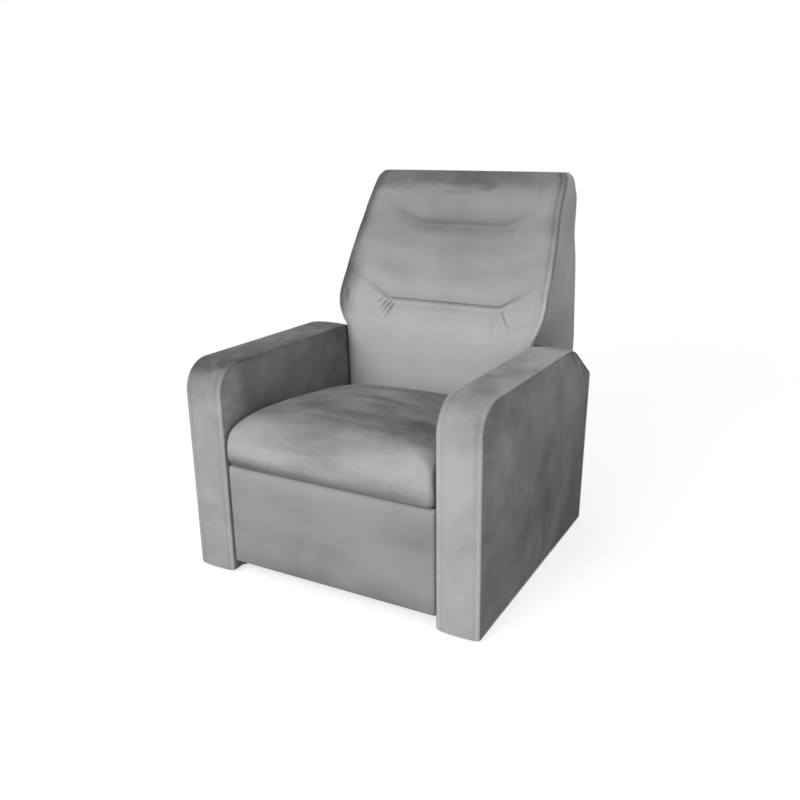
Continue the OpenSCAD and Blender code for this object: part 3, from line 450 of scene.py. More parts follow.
def makeArm(name, side):
    q = armSpec
    rings = np.array(armRings())
    rings[..., 0] *= side
    piece = skin(name, rings)
    subdivide(piece)
    settle(piece)
    bareLowerSide(piece, side)
    x, s, z = placesOf(piece)
    normals = np.empty(len(x) * 3, np.float32)
    piece.data.vertices.foreach_get("normal", normals)
    nx, ny, nz = normals.reshape(-1, 3).T
    # how far each point faces the front and faces up, for painted light by face direction
    front, top = smoothStep(0.45, 1, -ny), smoothStep(0.3, 0.9, nz)
    brush = cloud(x, s, z, (60, 120, 60), 11 + side) - 0.5
    marks = cloud(x, s, z, (34, 60, 30), 23 + side) - 0.42
    pinch = cloud(x, s, z, (60, 26, 11), 29 + side) - 0.5
    # how far in from the side seams, for the painted highlight and shade along them
    rim = np.minimum(q["outer"] - side * x, side * x - q["inner"])
    band = total(q["bandShadingAndNap"], z=z, front=front, top=top, notTop=1 - top, brush=brush, marks=marks, rim=rim,
                 rimShare=0.4 + 0.6 * front)
    # painted light: front faces lighter; upward faces lighter on the right arm and darker on the left
    band = band + q["frontShadingAndNap"][side < 0] * front + q["topShadingAndNap"][side < 0] * top
    flank = total(q["flankShadingAndNap"], s=s, z=z, brush=brush, marks=marks, pinch=pinch, slope=z + 0.06 * s,
                  frontPatch=s + 40 * brush, inward=side * x < (q["inner"] + q["outer"]) / 2)
    # painted fold lines: a pale highlight with painted shade beside it
    for s0, z0, s1, z1, width, amount in q["paintedFoldLines"]:
        t, off = alongLine(s, z, s0, z0, s1, z1)
        flank = flank + amount * smoothStep(0, 0.3, t) * smoothStep(1, 0.6, t) * (
            hump(off, 0, width) - 0.8 * hump(off, -width * 2, width * 1.4))
    # the flat sides, facing left or right, take the darker flank tone: painted shade by face direction
    return dress(piece, mix(band, flank, smoothStep(0.75, 0.97, np.abs(nx))), "velvet_arm")


armPieces = {}
for sideName, sign in (("right", 1), ("left", -1)):
    armPieces[sideName] = makeArm("armUpholstery_" + sideName, sign)
print("arms made")


# Seat cushion: a bull-nosed front that rolls under to the seam, tight sides and a crowned top. Profiles are
# (inset, share of the height) rows; lineTable is how far the side seam has fallen at a share of the depth.
seatSpec = {
    "half": 287.4, "front": -6, "rear": 564, "seamZ": 301, "sideZ": 412, "fall": 55, "crown": 27,
    "crownPowers": (2.2, 3.4), "noseDepth": 106, "counts": (9, 62, 50), "corner": 18, "heart": (0, 285.0),
    "lineTable": [(0, -0.25), (0.06, -0.08), (0.16, 0), (0.28, 0.04), (0.49, 0.27), (0.75, 0.6), (1, 1)],
    "underZ": 322.6, "underHeart": (0, 330), "underLoop": (264, 112.4, 561, 10),
    "lipLoop": (275.4, 9.5, 555, 14), "cornerGrowth": 0.8, "rearShare": 0.7, "noseBlend": (120, 20),
    "limits": (288, -7.5, 564.5),
    "frontProfile": [(15, 0), (10, 0.025), (5.5, 0.07), (2.5, 0.13), (0.8, 0.2), (0, 0.28), (0, 0.37),
                     (0.8, 0.46), (2.5, 0.55), (5.5, 0.64), (10, 0.725), (16, 0.8), (24, 0.865), (33, 0.915),
                     (44, 0.955), (58, 0.985), (76, 1)],
    "sideProfile": [(11, 0), (7, 0.02), (4, 0.06), (2, 0.12), (0.8, 0.19), (0.2, 0.28), (0, 0.37), (0, 0.46),
                    (0, 0.55), (0.4, 0.64), (1.5, 0.73), (4, 0.81), (8, 0.875), (13, 0.925), (20, 0.965),
                    (29, 0.99), (42, 1)],
    "topRings": [96, 120, 146, 172, 196, 218, 238, 254, 266], "topDepth": 286,
    "heldRows": 7, "stiffRows": 16, "stiffShare": 0.15,
    "cloth": {"pressure": 4.0, "stiffness": 12, "bending": 0.4, "cap": 22, "calm": 30},
    # the pile's lay; pile patches, darker towards the rear; the nose's underside is painted shade, lighter to
    # the right
    # the top, facing up, is darker than the bullnose facing the front: painted shade by face direction along
    # with
    "topShadingAndNap": [(0.26,), (0.55, "brush"), (0.3, "fine"), (-0.42, ramp("s", 260, 470))], "noseShadingAndNap": 0.82,
    "noseLine": [(-100,), (1, "s"), (0.25, "z"), (90, "brush"), (30, ridge("x", 10, 120)), (-0.08, "x")],
    "noseReach": (104, 10), "underShade": [(0.38,), (0.0005, "x")], "underReach": (352, 308),
}


def seatTop(x, s):
    q = seatSpec
    depth = q["rear"] - q["front"]
    across = np.clip(np.abs(x) / q["half"], 0, 1) ** q["crownPowers"][0]
    along = np.clip(np.abs(s - depth / 2 - q["front"]) / depth * 2, 0, 1) ** q["crownPowers"][1]
    side = q["sideZ"] - q["fall"] * softLine(np.clip(s / q["rear"], 0, 1), q["lineTable"], 0.06)
    return side + q["crown"] * (1 - across) * (1 - along)


def plateLoop(halfWide, front, rear, corner, counts):  # a rounded rectangle in (x, s) or (x, z)
    arc, wide, deep = counts
    corners = [(-halfWide, front), (-halfWide, rear), (halfWide, rear), (halfWide, front)]
    return roundedLoop(corners, [corner] * 4, [0] * 4, [arc] * 4, [deep, wide, deep, wide])


def makeSeat():
    q = seatSpec
    rings = []
    nose = q["noseDepth"]
    under = plateLoop(*q["underLoop"], q["counts"])
    for t, lift in ((0.9, 0.4), (0.6, 0.4), (0.3, 0.4), (0, 0.2)):
        rings.append(place(*mix(under, np.array(q["underHeart"]), t).T, q["underZ"] + lift))
    x, s = plateLoop(*q["lipLoop"], q["counts"]).T
    rings.append(place(x, s, np.where(s > nose, q["underZ"], q["seamZ"])))
    for (front, h), (side, g) in zip(q["frontProfile"], q["sideProfile"]):
        corner = q["corner"] + q["cornerGrowth"] * max(0, front - 2.5) * (h > 0.4)
        rear = q["rear"] - side * q["rearShare"]
        x, s = plateLoop(q["half"] - side, q["front"] + front, rear, corner, q["counts"]).T
        share = mix(g, h, smoothStep(*q["noseBlend"], s - q["front"]))
        base = mix(q["seamZ"], q["underZ"], smoothStep(nose - 6, nose + 12, s) * (s > nose))
        rings.append(place(x, s, mix(base, seatTop(x, s), share)))
    rim = q["frontProfile"][-1][0]
    for d in q["topRings"]:
        t = (d - rim) / (q["topDepth"] - rim)
        inX, inS = mix(np.stack([x, s], 1), np.array(q["heart"]), t).T
        rings.append(place(inX, inS, seatTop(inX, inS)))
    piece = skin("seatCushion", rings)
    row = np.arange(len(piece.data.vertices)) // len(rings[0])
    inflate(piece, np.where(row <= q["heldRows"], 1.0, q["stiffShare"] * (row <= q["stiffRows"])), q["cloth"])
    x, s, z = placesOf(piece)
    side, first, last = q["limits"]
    x, s = np.clip(x, -side, side), np.clip(s, first, last)
    setPoints(piece, place(x, s, z) * mm)
    brush = cloud(x, s, z, (150, 62, 60), 5) - 0.5
    fine = cloud(x, s, z, (80, 30, 40), 9) - 0.5
    # painted shading: the bullnose facing the front lighter than the top, and its underside painted shade
    nose = smoothStep(*q["noseReach"], total(q["noseLine"], x=x, s=s, z=z, brush=brush))
    below = smoothStep(*q["underReach"], z + 20 * brush) * smoothStep(60, 20, s)
    napAndShading = mix(total(q["topShadingAndNap"], s=s, brush=brush, fine=fine), q["noseShadingAndNap"], nose)
    subdivide(piece)
    return dress(piece, mix(napAndShading, total(q["underShade"], x=x), below), "velvet_seat")


seatPiece = makeSeat()
print("seat cushion made")

# Back: the cushion with two sewn channels, and the wedge behind it. In the code a runs from -1 at the left
# edge to 1 at the right, v from 0 at the floor to 1 at the top, and low and high are mm above the channels.
# Tables are (height, depth or half width) in mm, or (v, share).
backSpec = {
    "rise": 965, "reach": 894, "padThick": 46, "narrowHalf": 250, "shellFootHalf": 257, "shellLowHalf": 267.7,
    "lowChannel": 616, "highChannel": 816, "foot": 0.358, "wingFoot": 0.5515, "tierFoot": 300,
    "wingTop": 590, "widest": 320,
    "centre": [(300, 575), (352, 571), (410, 571.5), (521, 590), (616, 621), (816, 747), (907, 779),
               (946, 799), (965, 818)],
    "edge": [(300, 574), (352, 570), (497, 564), (561, 561), (598, 566), (623, 575), (671, 597), (706, 618),
             (755, 647), (799, 671), (833, 693), (876, 717), (917, 749), (950, 777), (965, 797)],
    "seam": [(300, 607), (482, 611), (532, 600), (560, 592), (579, 593), (616, 602), (656, 618), (714, 651),
             (772, 686), (816, 709), (868, 740), (917, 776), (950, 800), (965, 813)],
    "rear": [(0.311, 0.96), (0.45, 1), (0.61, 0.985), (0.83, 0.967), (0.94, 0.97), (0.97, 0.967),
             (0.985, 0.958), (1, 0.941)],
    "thick": [(0.9, 1), (0.96, 0.7), (0.985, 0.4), (1, 0.12)],
    "frontHalf": [(534, 284), (543, 287), (553, 293), (566, 300), (582, 307), (600, 312.5), (620, 316),
                  (640, 317), (660, 315), (680, 313), (720, 312), (740, 311), (780, 307), (820, 303),
                  (860, 298), (900, 295), (940, 293), (950, 291), (958, 287), (965, 279)],
    "rearHalf": [(452, 311), (500, 313), (580, 312), (700, 311), (740, 310), (780, 306.5), (820, 305),
                 (860, 306.5), (900, 306), (940, 298), (955, 292), (965, 281)],
    "lowRise": [(0.45, 0), (0.551, 0.34), (0.638, 1), (0.74, 0.7), (0.846, 0.12), (0.95, 0)], "lowLift": 85,
    "highRise": [(0.73, 0), (0.846, 1), (0.955, 0)], "highLift": 50, "lowKink": 0.54, "highKink": (0.43, 0.8),
    "drop": [(0.37, 0), (0.551, 1), (0.72, 0)], "seamDrop": 1, "shellDrop": 80, "rearRound": 26,
    "tierBulge": 11, "bowShare": 3.2, "edgeSoft": 9, "edgePower": 24, "edgeDip": 0.25,
    "lowGroove": [(13, ridge("low", 0, 4.6)), (11, "above", ridge("low", 5, 20)), (2.5, ridge("low", -12, 4)),
                  (5, "below", ridge("low", -10, 30))],
    "highGroove": [(12, ridge("high", -3, 15)), (8, ridge("high", -12, 34))],
    "hang": [(7, "lowShare", ridge("low", 13, 9))],  # the middle tier hangs over its channel
    "padRows": (0.0085, [(0.6385, 0.03, 0.0028), (0.8456, 0.03, 0.005), (0.985, 0.03, 0.004),
                         (0.358, 0.012, 0.004), (0.5515, 0.008, 0.002), (0.605, 0.035, 0.0026)]),
    "padColumns": (0.028, [(-0.57, 0.09, 0.006), (0.62, 0.1, 0.008), (-0.97, 0.06, 0.012),
                           (0.97, 0.06, 0.012)]),
    "shellRows": (0.012, [(0.358, 0.02, 0.004), (0.5515, 0.008, 0.002), (0.98, 0.03, 0.005)]),
    "shellColumns": (0.045, [(-0.97, 0.07, 0.014), (0.97, 0.07, 0.014)]),
    "padFoot": 0.311, "shellFoot": 0.3295, "shellGap": 1.0, "footTuck": 3, "sideRows": 6, "sideSwell": 2.0,
    "held": [[(1, "behind")], [(1, ramp("out", 0.965, 0.995))], [(1, "lowShare", ridge("low", -4, 14))],
             [(0.7, "highShare", ridge("high", 0, 9))],
             [(1, ramp("v", 0.34, 0.32)), (1, ramp("v", 0.985, 0.998))]],
    "cloth": {"pressure": 3.0, "stiffness": 14, "bending": 0.6, "cap": 22, "calm": 5},
    "creases": [(-158, 612, -182, 572, 2.6, 7), (-147, 610, -172, 558, 2.6, 8),
                (-171, 614, -192, 582, 2.6, 6), (-184, 620, -206, 596, 3.4, 4), (184, 608, 220, 558, 3.4, 7),
                (162, 592, 160, 520, 4, 2.6), (-292, 640, -286, 584, 4, 5), (-301, 612, -296, 566, 3, 4),
                (286, 640, 281, 570, 4, 3.6)],  # from (x, z) to (x, z), with width and depth
    # a painted highlight on the lower channel's lip, painted shade in the creases and on the top roll, darker
    # tier
    # by tier upwards, and the lower tier painted lighter where the arms shade it
    # front of the cushion: pile patches and marks, with painted shading: painted shadow in and beside both
    # channels,
    "frontShadingAndNap": [
        (0.96,), (-0.26, ramp("rise", 600, 690)), (-0.12, ramp("rise", 760, 850)),
        (-0.46, ramp("ragged", 896, 938)), (0.23, ramp("ragged", 896, 938), ramp("x", 60, 290)),
        (0.08, ridge("rise", 660, 30)), (0.14, "brush"), (0.06, "mark"), (0.16, ramp("rise", 600, 540)),
        (0.3, ramp("rise", 470, 330)), (0.14, "lowShare", "lowShare", ridge("low", -8, 3)),
        (-0.1, "lowShare", "lowShare", ridge("low", -17, 7)), (-0.05, "crease"),
        (-0.09, "lowShare", ridge("low", 9, 9)),
        (-0.11, "lowShare", ridge("low", 9, 9), ramp("out", 0.25, 0.5)),
        (-0.26, "highShare", ridge("high", -6, 17)),
        (0.078, "highShare", ridge("high", -6, 17), ramp("a", -0.2, 0.4)), (-0.12, ridge("high", -45, 26)),
        (-0.1, "lowShare", ridge("low", -6, 10))],
    "behindNap": 0.5,
    # painted shade just inside it, and the left edge and left wing painted darker, in shade
    # painted shading at the sides: darker towards both edges higher up, a painted highlight along the right
    # edge with
    "edgeShading": [
        (-0.14, ramp("out", 0.86, 0.97), ramp("rise", 560, 700)),
        (0.26, ridge("a", 0.985, 0.012), ramp("z", 760, 600)), (-0.2, ridge("a", 0.955, 0.012)),
        (-0.42, ramp("a", -0.9, -0.985)),
        (-0.55, ramp("a", -0.8, -0.93), ramp("z", 540, 620), ramp("z", 760, 690))],
    # the shell: pile patches, darker towards the bottom
    "shellNap": [(0.86,), (0.3, "brush"), (-0.12, ramp("z", 640, 540))],
}


def line(z, name, width=8):
    return softLine(z, backSpec[name], width)


def frontHalf(v, z):
    return np.where(v < backSpec["foot"], backSpec["narrowHalf"], line(z, "frontHalf", 4))


def bent(a, kink):  # nothing in the middle, then rising evenly to 1 at the edge, with a small rounding
    d = np.abs(a) - kink
    return (np.sqrt(d * d + 0.0006) + d) / 2 / (1 - kink)


def lowWeight(a):
    return np.clip(1 - 0.9 * bent(a, 0.5), 0, 1)


def highWeight(a):
    return smoothStep(0.83, 0.36, np.abs(a)) ** 0.8


def backFront(v, a):
    b = backSpec
    z = v * b["rise"]
    low, high = z - b["lowChannel"], z - b["highChannel"]
    tier = np.select([low < 0, high < 0], [
        1 + low / (b["lowChannel"] - b["tierFoot"]), low / (b["highChannel"] - b["lowChannel"])],
        high / (b["rise"] - b["highChannel"]))
    tier = np.clip(np.sin(np.pi * np.clip(tier, 0, 1)), 0, 1) ** 0.7
    tier = tier * b["tierBulge"] * smoothStep(1, 0.86, np.abs(a))
    dip = total(b["lowGroove"], low=low, above=low > 0, below=low < 0) * lowWeight(a) \
        + total(b["highGroove"], high=high) * highWeight(a)
    first, last = b["highKink"]
    plateau = np.clip((bent(a, first) * (1 - first) - bent(a, last) * (1 - last)) / (last - first), 0, 1)
    z = z + b["lowLift"] * softLine(v, b["lowRise"]) * bent(a, b["lowKink"]) \
        + b["highLift"] * softLine(v, b["highRise"]) * plateau
    edge = line(z, "edge") + b["edgeSoft"] * np.abs(a) ** b["edgePower"] + b["edgeDip"] * dip
    s = mix(line(z, "centre") - tier + dip, edge, np.abs(a) ** b["bowShare"])
    return s, z - total(b["hang"], low=low, lowShare=lowWeight(a))


def crease(x, z):
    s = 0
    for x0, z0, x1, z1, width, depth in backSpec["creases"]:
        t, off = alongLine(x, z, x0, z0, x1, z1)
        valley = hump(off, 0, width) - 0.45 * hump(off, width * 2.1, width * 1.1) \
            - 0.3 * hump(off, -width * 2.1, width * 1.1)
        s = s + smoothStep(-0.12, 0.08, t) * smoothStep(1.1, 0.3, t) * depth * valley
    return s


def dropAt(v):
    return softLine(v, backSpec["drop"])


def padRear(v, a):
    b = backSpec
    z = v * b["rise"] - b["seamDrop"] * dropAt(v)
    middle = line(z, "centre") + b["padThick"] * softLine(v, b["thick"], 0.006)
    return mix(middle, line(z, "seam"), np.abs(a) ** b["bowShare"]), z


def makeBackCushion():
    b = backSpec
    levels = spread(b["padFoot"], 1.0, *b["padRows"])
    across = spread(-1, 1, *b["padColumns"])
    rings = []
    for v in levels:
        s, z = backFront(v, across)
        x = across * frontHalf(v, z)
        rearS, rearZ = padRear(v, across)
        rings.append(np.concatenate([
            place(x, s + crease(x, z), z), place(across * frontHalf(v, rearZ), rearS, rearZ)[::-1]]))
    piece = skin("backCushion", rings)
    cols, n = len(rings[0]), len(across)
    row, col = np.divmod(np.arange(len(levels) * cols), cols)
    isFront = col < n
    a = across[np.where(isFront, col, cols - 1 - col)]
    v = levels[row]
    z = v * b["rise"]
    places = {"a": a, "out": np.abs(a), "v": v, "rise": z, "low": z - b["lowChannel"], "behind": ~isFront,
              "high": z - b["highChannel"], "lowShare": lowWeight(a), "highShare": highWeight(a)}
    inflate(piece, np.max([total(rows, **places) for rows in b["held"]], axis=0), b["cloth"])
    x, s, z = placesOf(piece)
    limit = np.where(z < b["wingTop"], line(z, "frontHalf", 4) + 0.5, b["widest"])
    setPoints(piece, place(np.clip(x, -limit, limit), s, z) * mm)
    brush = cloud(x, s + frontY, z, (120, 80, 50), 31) - 0.5
    mark = cloud(x, s + frontY, z, (60, 60, 22), 37) - 0.5
    # crease depth feeds painted shade in the creases; the front takes pile patches and painted shading, the
    # edges more
    places.update(x=x, z=z, brush=brush, mark=mark, ragged=z + 44 * mark, crease=crease(x, z))
    front = np.where(isFront, total(b["frontShadingAndNap"], **places), b["behindNap"])
    subdivide(piece)
    return dress(piece, front + total(b["edgeShading"], **places), "velvet_back")


def makeBackShell():
    b = backSpec
    levels = spread(b["shellFoot"], 1.0, *b["shellRows"])
    across = spread(-1, 1, *b["shellColumns"])
    between = np.linspace(0, 1, b["sideRows"] + 2)[1:-1, None]  # places on the side panels, which swell
    swell = b["sideSwell"] * np.sin(np.pi * between) * np.array([1, 0, 0])
    rings = []
    for v in levels:
        z = v * b["rise"] - b["seamDrop"] * dropAt(v)
        rearZ = v * b["rise"] - b["shellDrop"] * dropAt(v)
        wide = frontHalf(v, z)
        if v < b["wingFoot"]:
            half = rearHalf = b["shellFootHalf"] if v < b["foot"] else b["shellLowHalf"]
        else:
            half, rearHalf = wide, line(rearZ, "rearHalf")
        s = padRear(v, across * half / wide)[0] + b["shellGap"]
        eased = (1 - 0.6 * smoothStep(0.96, 1, v)) * (1 - 0.85 * smoothStep(0.46, 0.38, v))
        rear = softLine(v, b["rear"]) * b["reach"] - b["rearRound"] * eased * np.abs(across) ** 12 \
            - b["footTuck"] * hump(v, 0.36, 0.03)
        front, back = place(across * half, s, z), place(across * rearHalf, rear, rearZ)[::-1]
        rings.append(np.concatenate([front, mix(front[-1], back[0], between) + swell, back,
                                     mix(back[-1], front[0], between) - swell]))
    piece = skin("backShell", rings)
    x, s, z = placesOf(piece)
    brush = cloud(x, s + frontY, z, (90, 70, 120), 41) - 0.5
    subdivide(piece)
    return dress(piece, total(b["shellNap"], z=z, brush=brush), "velvet_back")


# Skirt of the same velvet that hangs from the back's lower edge and closes the gap to the seat when it
# reclines
skirtSpec = {
    "half": 240, "steps": 14, "thick": 3.2, "napAndShading": 0.62,  # the path is (s, z), from under the cushion down
    "path": [(586, 312), (586, 302), (586.5, 290), (588, 276), (590.5, 262), (594, 248), (598, 235)],
}


def addSkirt(piece):
    q = skirtSpec
    upper = np.array(q["path"], float)
    along = np.gradient(upper, axis=0)
    along = along / np.linalg.norm(along, axis=1)[:, None]
    lower = upper + np.stack([along[:, 1], -along[:, 0]], 1) * q["thick"]
    loop = np.concatenate([upper, lower[::-1]])
    rings = [place(x, *loop.T) for x in np.linspace(-q["half"], q["half"], q["steps"])]
    skirt = skin("backSkirt", rings)
    setNapAndShading(skirt, np.full(len(skirt.data.vertices), q["napAndShading"]))
    work = bmesh.new()
    work.from_mesh(piece.data)
    work.from_mesh(skirt.data)
    work.to_mesh(piece.data)
    work.free()
    bpy.data.objects.remove(skirt)


backPiece = makeBackCushion()
addSkirt(backPiece)
shellPiece = makeBackShell()
print("back made")

# Footrest panel: soft rounded edges over a plywood board, whose back stays bare. Profile rows are
# (s, inset); board rings are (share of the way to the middle, s).
panelSpec = {
    "half": 287.4, "low": 34.5, "high": 299, "boardHalf": 278.4, "boardLow": 45.6, "boardHigh": 291.4,
    "boardRings": [(0.9, 32.7), (0.5, 32.7), (0.15, 32.7), (0, 32.7), (0, 39), (0, 44.4)], "boardCorner": 9,
    "corner": 6, "counts": (9, 66, 32), "puff": 3.0, "puffHalf": 128.5, "limits": (287.6, 33, 300.2, -1.5),
    "profile": [(44.6, 0.8), (42, 0.2), (36, 0), (28, 0), (20, 0), (12.5, 0.2), (8, 1.1), (5, 2.7),
                (2.9, 5.2), (1.5, 9), (0.7, 14.5), (0.3, 22), (0.1, 32), (0, 45), (0, 60), (0, 76), (0, 94),
                (0, 110)],
    "heldRows": 14, "cloth": {"pressure": 1.5, "stiffness": 15, "bending": 0.5, "cap": 6, "calm": 30},
    # pile patches, darker towards the bottom and a little lighter along the top edge
    "napAndShading": [(0.6,), (-0.14, ramp("z", 110, 50)), (0.24, "brush"), (0.06, ramp("z", 270, 292))],
}


def makeFootrest():
    q = panelSpec
    middle = np.array([0, (q["low"] + q["high"]) / 2])
    hole = plateLoop(q["boardHalf"], q["boardLow"], q["boardHigh"], q["boardCorner"], q["counts"])
    rings = []
    for t, s in q["boardRings"]:
        x, z = mix(hole, middle, t).T
        rings.append(place(x, s, z))
    for s, inset in q["profile"]:
        corner = min(q["corner"] + 0.4 * inset, 0.8 * ((q["high"] - q["low"]) / 2 - inset))
        x, z = plateLoop(q["half"] - inset, q["low"] + inset, q["high"] - inset, corner, q["counts"]).T
        if inset > 4:
            puff = (1 - np.abs(x / q["half"]) ** 4) * (1 - np.abs((z - middle[1]) / q["puffHalf"]) ** 4) - 1
        else:
            puff = -smoothStep(20, 5, s)
        rings.append(place(x, s - q["puff"] * puff, z))
    piece = skin("footrestPad", rings)
    row = np.arange(len(piece.data.vertices)) // len(rings[0])
    inflate(piece, np.where(row <= q["heldRows"], 1.0, 0.0), q["cloth"])
    x, s, z = placesOf(piece)
    side, low, high, front = q["limits"]
    x, s, z = np.clip(x, -side, side), np.maximum(s, front), np.clip(z, low, high)
    setPoints(piece, place(x, s, z) * mm)
    brush = cloud(x, s, z, (150, 60, 70), 51) - 0.5
    subdivide(piece)
    return dress(piece, total(q["napAndShading"], z=z, brush=brush), "velvet_footrest")


footrestPiece = makeFootrest()
print("footrest pad made")


# Finishes of the frame and mechanism. The relief texture, a noise or another kind, makes the bumps. The tone
# is the tint's noise, or that share of it mixed with the relief, or the relief alone. One over a scale is a
# texture's step in metres.
finishSpec = {
    # Pine, planed boards: long soft growth lines 4 mm apart, a little uneven and dull
    "pine": {"name": "planedPine", "colours": ("#D9B98A", "#B98D57"), "rough": 0.62, "stretch": (1, 6, 6),
             "kind": "ShaderNodeTexWave", "set": {"bands_direction": "DIAGONAL"},
             "relief": {"Scale": 26.0, "Distortion": 5.0, "Detail": 3.0, "Detail Scale": 1.4},
             "tint": {"Scale": 6.0, "Detail": 3.0}, "share": 0.4, "bump": (0.2, 0.0004)},
    # Poplar plywood, sanded: faint figure, with fine fibres about 2 mm apart
    "plywood": {"name": "poplarPlywood", "colours": ("#DCC29A", "#B8935F"), "rough": 0.66,
                "stretch": (9, 1.6, 9), "relief": {"Scale": 60.0, "Detail": 2.0},
                "tint": {"Scale": 4.0, "Detail": 5.0, "Distortion": 1.4}, "share": 0.65,
                "bump": (0.25, 0.0003)},
    # Powder-coated pressed steel: black satin with fine orange peel at 2.4 mm
    "steel": {"name": "coatedSteel", "colours": ("#1B1B1D", "#2A2A2C"), "rough": (0.3, 0.5),
              "relief": {"Scale": 420.0, "Detail": 1.0}, "tint": {"Scale": 18.0, "Detail": 4.0},
              "bump": (0.3, 0.0002)},
    # Zinc-plated rivets and bolts: bright grey metal with a cloudy passivated film, its clouds 6 mm wide
    "zinc": {"name": "zincPlate", "colours": ("#A9ABAE", "#C9CBCC"), "rough": (0.24, 0.42), "metal": 1.0,
             "relief": {"Scale": 160.0, "Detail": 3.0}},
    # Woven rubber and polypropylene webbing: plain weave of 3 mm tapes, black with a dull shine
    "webbing": {"name": "wovenWebbing", "colours": ("#1D1D1F", "#3A3A3D"), "rough": 0.7,
                "kind": "ShaderNodeTexChecker", "relief": {"Scale": 333.0},
                "tint": {"Scale": 700.0, "Detail": 1.0}, "bump": (0.5, 0.0006)},
    # Moulded black nylon glides: smooth and slightly mottled, at 2 mm
    "nylon": {"name": "mouldedNylon", "colours": ("#1A1A1A", "#262626"), "rough": 0.45,
              "relief": {"Scale": 500.0, "Detail": 2.0}, "bump": (0.2, 0.0002)},
}


def frameFinish(name, spec):
    made, tree, where = startMaterial(name)
    if "stretch" in spec:
        where = addNode(tree, "ShaderNodeMapping", {"Vector": where, "Scale": spec["stretch"]}).outputs[0]
    relief = addNode(tree, spec.get("kind", "ShaderNodeTexNoise"), {"Vector": where, **spec["relief"]},
                     **spec.get("set", {})).outputs["Fac"]
    tone = relief
    if "tint" in spec:
        tone = addNode(tree, "ShaderNodeTexNoise", {"Vector": where, **spec["tint"]}).outputs["Fac"]
    if "share" in spec:
        tone = addNode(tree, "ShaderNodeMix", {"Factor": spec["share"], "A": relief, "B": tone}).outputs[0]
    first, second = spec["colours"]
    colour = addNode(tree, "ShaderNodeMix", {"Factor": tone, "A": linear(first), "B": linear(second)},
                     data_type="RGBA").outputs["Result"]
    sockets = {"Base Color": colour, "Roughness": spec["rough"], "Metallic": spec.get("metal", 0.0)}
    if isinstance(spec["rough"], tuple):
        least, most = spec["rough"]
        sockets["Roughness"] = addNode(tree, "ShaderNodeMapRange", {
            "Value": tone, "To Min": least, "To Max": most}).outputs[0]
    if "bump" in spec:
        strength, distance = spec["bump"]
        sockets["Normal"] = addNode(tree, "ShaderNodeBump", {
            "Height": relief, "Strength": strength, "Distance": distance}).outputs[0]
    return finishMaterial(made, addNode(tree, "ShaderNodeBsdfPrincipled", sockets))


for slotName, spec in finishSpec.items():
    finishes[slotName] = frameFinish(spec["name"], spec)
for part in frame["record"]["subparts"]:
    cadNode = nodes[part["node"]]
    cadNode.data.materials.clear()
    cadNode.data.materials.append(finishes[part["material_slot"]])
print("finishes assigned")

# Which body each piece rides on, what it stands for and its slot
for piece, body, stands, slotName in (
        (armPieces["right"], "base", "arm_cover_right", "velvet_arm"),
        (armPieces["left"], "base", "arm_cover_left", "velvet_arm"),
        (seatPiece, "seat", "seat_cushion", "velvet_seat"),
        (backPiece, "back", "back_cushion", "velvet_back"),
        (shellPiece, "back", "back_shell", "velvet_back"),
        (footrestPiece, "footrest", "footrest_pad", "velvet_footrest")):
    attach(piece, body)
    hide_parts(stands)

# Crown staples that hold the covers' hems: 11 mm wide, 1.2 mm wire, along each hem, in (x, s, z)
stapleSpec = {
    "spacing": 34, "crown": 11, "wire": 1.2,
    "hems": {
        "footrest": [(-282.8, 44.9, 44), (282.8, 44.9, 44), (282.8, 44.9, 293), (-282.8, 44.9, 293),
                     (-282.8, 44.9, 44)],
        "seat": [(-254, 122, 321.9), (254, 122, 321.9), (254, 552, 321.9), (-254, 552, 321.9),
                 (-254, 122, 321.9)],
        "back": [(-232, 640, 317.4), (232, 640, 317.4)],
    },
}


def stapleTree():
    tree = bpy.data.node_groups.new("stapleRow", "GeometryNodeTree")
    tree.is_modifier = True
    face = tree.interface
    face.new_socket("Path", in_out="INPUT", socket_type="NodeSocketGeometry")
    for label in ("Spacing", "Crown", "Wire"):
        face.new_socket(label, in_out="INPUT", socket_type="NodeSocketFloat")
    face.new_socket("Metal", in_out="INPUT", socket_type="NodeSocketMaterial")
    face.new_socket("Staples", in_out="OUTPUT", socket_type="NodeSocketGeometry")
    given = addNode(tree, "NodeGroupInput").outputs
    path = addNode(tree, "GeometryNodeMeshToCurve", {"Mesh": given["Path"]})
    dots = addNode(tree, "GeometryNodeCurveToPoints", {"Curve": path.outputs[0], "Length": given["Spacing"]},
                   mode="LENGTH")
    size = addNode(tree, "ShaderNodeCombineXYZ", {
        "X": given["Wire"], "Y": given["Wire"], "Z": given["Crown"]})
    wire = addNode(tree, "GeometryNodeMeshCube", {"Size": size.outputs[0]})
    placed = addNode(tree, "GeometryNodeInstanceOnPoints", {
        "Points": dots.outputs["Points"], "Instance": wire.outputs["Mesh"],
        "Rotation": dots.outputs["Rotation"]})
    real = addNode(tree, "GeometryNodeRealizeInstances", {"Geometry": placed.outputs[0]})
    metal = addNode(tree, "GeometryNodeSetMaterial", {
        "Geometry": real.outputs[0], "Material": given["Metal"]})
    addNode(tree, "NodeGroupOutput", {"Staples": metal.outputs[0]})
    return tree


